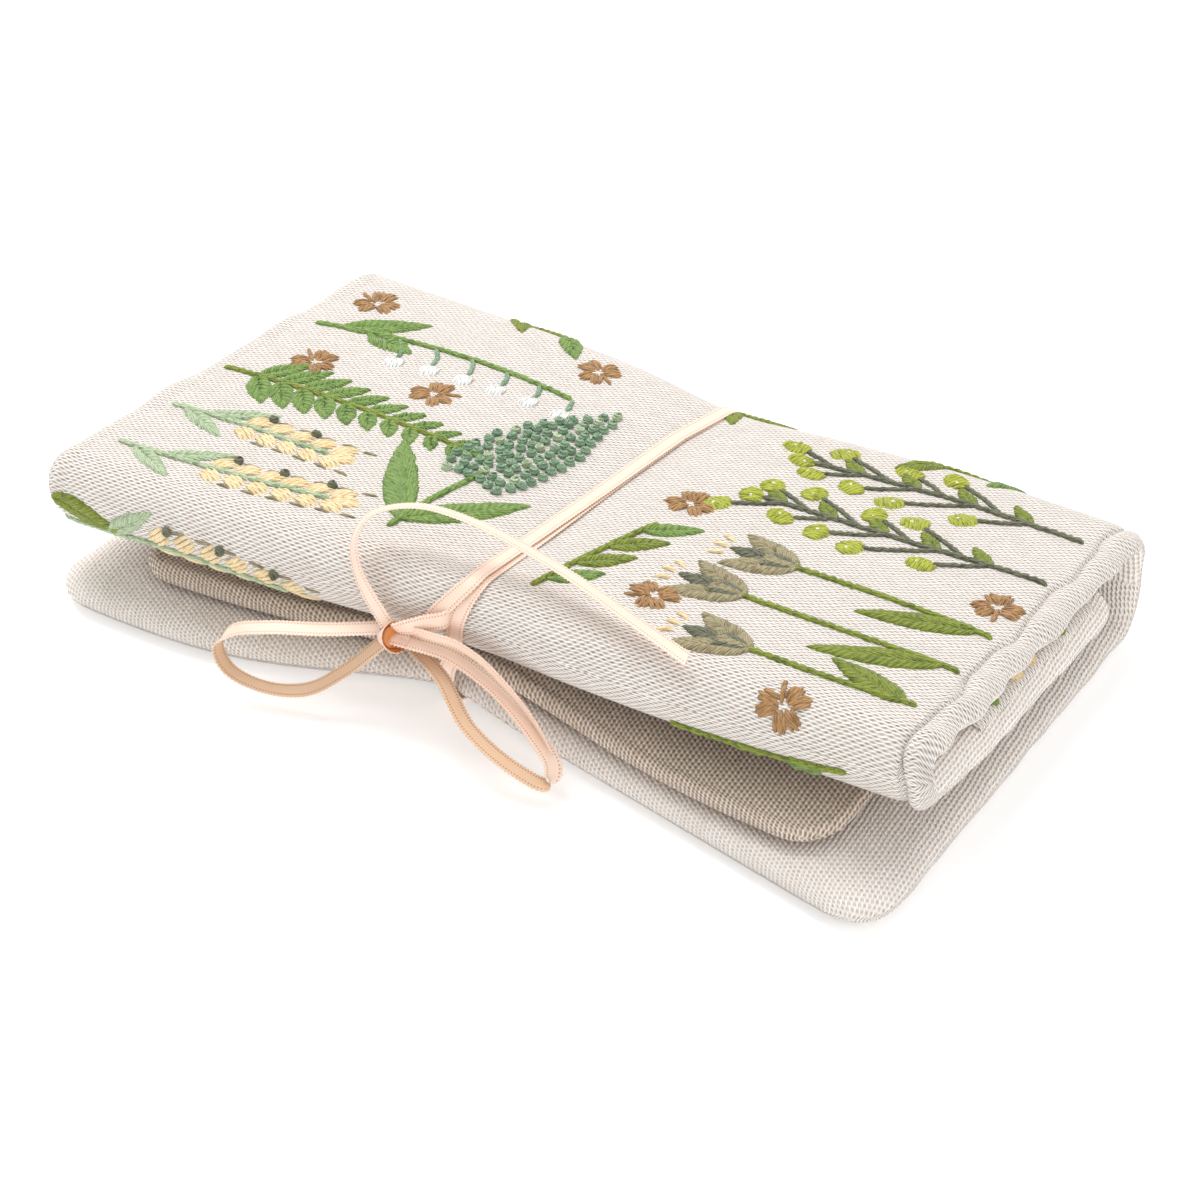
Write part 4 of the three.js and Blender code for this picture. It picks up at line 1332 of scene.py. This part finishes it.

# The loops' inner faces take the darker tan satin, painted shade
route_strip("bow_loop_left", "ribbon_loop_left", "object", LEFT_LOOP_ROUTE, LEFT_LOOP_WAYS,
            back=SHADED_BACK_SATIN)
route_strip("bow_loop_right", "ribbon_loop_right", "object", RIGHT_LOOP_ROUTE, RIGHT_LOOP_WAYS,
            front=SHADED_BACK_SATIN)
route_strip("bow_tail_left", "ribbon_tail_left", "bare", LEFT_TAIL_ROUTE, LEFT_TAIL_WAYS, cut=0.6)
route_strip("bow_tail_right", "ribbon_tail_right", "bare", RIGHT_TAIL_ROUTE, RIGHT_TAIL_WAYS, cut=0.5)


def strip_line(place, x, *rest):
    """Centres of a strip placed at x, and the ways of its width there."""
    centres = place(x, *rest)
    return centres, place(x + WIDTH_STEP, *rest) - centres


def make_turn(name, side, layer, end, ease, ease_to, *nodes):
    """Turn of the ribbon that bows to the right over the front cover and comes back left down the fold."""
    runs = np.linspace(RUN_SPINE_MIDDLE, RUN_FOLD + end, TURN_STEPS)
    y = section(runs)[0]
    bow = TURN_BOW * np.clip((y - TURN_BOW_FROM_Y) / (FOLD_Y - TURN_BOW_FROM_Y), 0, 1)
    spread = TURN_SPREAD * smoothstep(-y, -TURN_PART_Y, -FOLD_Y)
    back = ease * smoothstep(runs - RUN_FOLD, EASE_FROM, ease_to)
    x = ribbon_x(y) + (bow + side * spread - back) * (runs > 0)
    lift = HALF_PAD + RIBBON_LIFT + layer * RIBBON_LAYER
    made = ribbon_strip(name, *strip_line(strip_place, x, runs, lift))
    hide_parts(*nodes)
    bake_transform(made)


def drop_line():
    """Square-layout points of the ribbon from the fold down to the back cover's underside."""
    radius = FOLD_RADIUS + RIBBON_LIFT
    angle = QUARTER + DROP_TURN_END / FOLD_RADIUS
    top_y = FOLD_Y + radius * math.cos(angle)
    top_z = FOLD_Z + radius * math.sin(angle)
    edge_y = BACK_DRAWN_Y - DROP_EDGE_CLEARANCE
    share = np.linspace(0, 1, DROP_STEPS)
    straight = np.stack([lerp(top_y, edge_y, share), lerp(top_z, HALF_PAD, share)])
    near = np.linspace(DROP_RIM_FROM, 1, RIM_STEPS)
    y = lerp(edge_y, BACK_DRAWN_Y + RIM_ROLL, near)
    rim = HALF_PAD * lerp(DROP_RIM_LEAST, 1, roll(np.maximum(y - BACK_DRAWN_Y, 0), RIM_ROLL))
    under = np.stack([y, HALF_PAD - rim - lerp(DROP_CORNER_CLEARANCE, RIBBON_LIFT, near)])
    y, z = np.concatenate([straight, under], axis=1)
    eased = DROP_TURN_EASE * smoothstep(DROP_TURN_END, EASE_FROM, DROP_EASE_TO)
    apart = (TURN_SPREAD + TURN_BOW - eased) * smoothstep(-y, -edge_y, -top_y)
    return ribbon_x(y) + apart, y, z


def make_under():
    """Turn under the back cover, with the drop from the fold that leads to it."""
    drop = drop_line()
    under_from = RUN_BACK + (drop[1][-1] + UNDER_GAP + SPINE_RADIUS)
    y, z, normal_y, normal_z = section(np.linspace(under_from, RUN_SPINE_MIDDLE, UNDER_STEPS))
    lift = HALF_PAD + RIBBON_LIFT
    under = (ribbon_x(y), y + normal_y * lift, z + normal_z * lift)
    centres, widths = strip_line(settle, *np.concatenate([drop, under], axis=1))
    made = ribbon_strip("ribbon_under_turn", centres, widths)
    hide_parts("ribbon_under", "ribbon_drop")
    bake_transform(made)


def make_knot(band_steps=72, bar_steps=20, strand_steps=12, cup_sides=48, cup_rings=12):
    """Knot: a band round the strands, open to the right, its inner faces in deep orange painted shade, a cup
    of the same painted shade that fills its inside, the strand that comes out of it and the bar that joins it
    to the turns."""
    mouth = np.array(KNOT_MOUTH)
    axis = unit(np.array(KNOT_AXIS))
    up = unit(np.array(KNOT_UP) - np.dot(KNOT_UP, axis) * axis)
    side = np.cross(up, axis)

    def ring(turn, reach, depth):
        around = side * np.cos(turn)[..., None] * KNOT_RADII[0] + up * np.sin(turn)[..., None] * KNOT_RADII[1]
        return mouth + around * reach[..., None] - axis * depth[..., None]

    turn = np.linspace(0, 2 * math.pi, band_steps)
    middle = ring(turn, np.ones(band_steps), np.full(band_steps, RIBBON_WIDTH / 2))
    flared = axis + KNOT_FLARE * unit(middle - middle.mean(axis=0))
    # The band's inner faces take the deep orange satin, painted shade
    band = ribbon_strip("bow_knot_band", middle, flared, back=KNOT_SHADE_SATIN)
    bar = ribbon_strip("bow_knot_bar", curve_points(KNOT_BAR_ROUTE, bar_steps),
                       curve_points(KNOT_BAR_WAYS, bar_steps))
    root = mouth - axis * KNOT_STRAND_DEPTH
    loop_start = RIGHT_LOOP_ROUTE[0]
    centres = curve_points([root, (root + loop_start) / 2, loop_start], strand_steps)
    strand = ribbon_strip("bow_knot_strand", centres, np.tile(RIGHT_LOOP_WAYS[0], (len(centres), 1)))
    # Cup in the deep orange satin inside the band: a sheet of painted shade that stands for the shaded ribbon
    # in the knot
    turns = np.linspace(0, 2 * math.pi, cup_sides, endpoint=False)
    turn, share = np.meshgrid(turns, np.linspace(0, 1, cup_rings))
    reach = share * KNOT_FILL * (1 + CUP_CRUMPLE * np.sin(3 * turn + 2 * share) * share)
    front = ring(turn, reach, CUP_DEPTH - CUP_RISE * share**2)
    back = ring(turn, reach, CUP_DEPTH + CUP_THICK - CUP_BACK_RISE * share**2)
    cup = np.concatenate([front, back[::-1]])
    uv = np.tile(np.stack([turn, share], axis=-1) * CUP_WEAVE, (2, 1, 1))
    inside = make_object("bow_knot_inside", cup, ring_faces(*cup.shape[:2])[0], uv, [KNOT_SHADE_SATIN], weld=True)
    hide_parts("ribbon_knot")
    for made in (band, bar, strand, inside):
        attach(made, "front_cover")


make_turn("ribbon_turn_under", 1, 0, DROP_TURN_END, DROP_TURN_EASE, DROP_EASE_TO,
          "ribbon_turn_drop", "ribbon_spine")
make_turn("ribbon_turn_over", -1, 1, KNOT_TURN_END, KNOT_TURN_EASE, KNOT_EASE_TO, "ribbon_turn_knot")
make_under()
make_knot()


# Camera at the photo's angle, solved on the outline of the book, and studio, in metres
CAMERA_PLACE = (0.25029, -0.39716, 0.34072)
CAMERA_AZIMUTH = math.radians(31.98)
CAMERA_ELEVATION = math.radians(35.67)
CAMERA_ROLL = math.radians(0.99)
CAMERA_CLIP = 0.01
FOCAL_PIXELS = 2856.27
IMAGE_PIXELS = 1200
SENSOR_MM = 36.0
FLOOR_REACH = 6.0
FLOOR_GREY = (0.9, 0.9, 0.9, 1)
FLOOR_GLOW = 0.3
WHITE = (1, 1, 1, 1)
SKY_STRENGTH = 0.82


def make_camera():
    data = bpy.data.cameras.new("camera")
    data.sensor_width = SENSOR_MM
    data.lens = FOCAL_PIXELS / IMAGE_PIXELS * SENSOR_MM
    data.clip_start = CAMERA_CLIP
    camera = bpy.data.objects.new("camera", data)
    place = Matrix.Translation(CAMERA_PLACE)
    for angle, axis in ((CAMERA_AZIMUTH, "Z"), (QUARTER - CAMERA_ELEVATION, "X"), (CAMERA_ROLL, "Z")):
        place = place @ Matrix.Rotation(angle, 4, axis)
    camera.matrix_world = place
    bpy.context.scene.collection.objects.link(camera)
    bpy.context.scene.camera = camera


def make_light(name, place, size, power):
    """Round lamp that looks at the book."""
    data = bpy.data.lights.new(name, "AREA")
    data.shape = "DISK"
    data.size = size
    data.energy = power
    lamp = bpy.data.objects.new(name, data)
    lamp.location = place
    lamp.rotation_euler = (-Vector(place)).to_track_quat("-Z", "Y").to_euler()
    bpy.context.scene.collection.objects.link(lamp)


def make_studio():
    floor_mesh = bpy.data.meshes.new("floor")
    corners = [(x * FLOOR_REACH, y * FLOOR_REACH, 0) for x, y in ((-1, -1), (1, -1), (1, 1), (-1, 1))]
    floor_mesh.from_pydata(corners, [], [(0, 1, 2, 3)])
    paper = Nodes("paper")
    paper.set(Base_Color=FLOOR_GREY, Roughness=0.95, Emission_Color=WHITE, Emission_Strength=FLOOR_GLOW)
    floor_mesh.materials.append(paper.material)
    floor = bpy.data.objects.new("floor", floor_mesh)
    bpy.context.scene.collection.objects.link(floor)
    world = bpy.data.worlds.new("studio")
    world.use_nodes = True
    sky = world.node_tree.nodes["Background"].inputs
    sky["Color"].default_value = WHITE
    sky["Strength"].default_value = SKY_STRENGTH
    bpy.context.scene.world = world
    make_light("key", (-0.45, 0.3, 0.95), size=0.9, power=9.0)
    make_light("fill", (1.0, -0.5, 0.55), size=1.0, power=2.4)
    bpy.context.scene.view_settings.view_transform = "Standard"


make_camera()
make_studio()
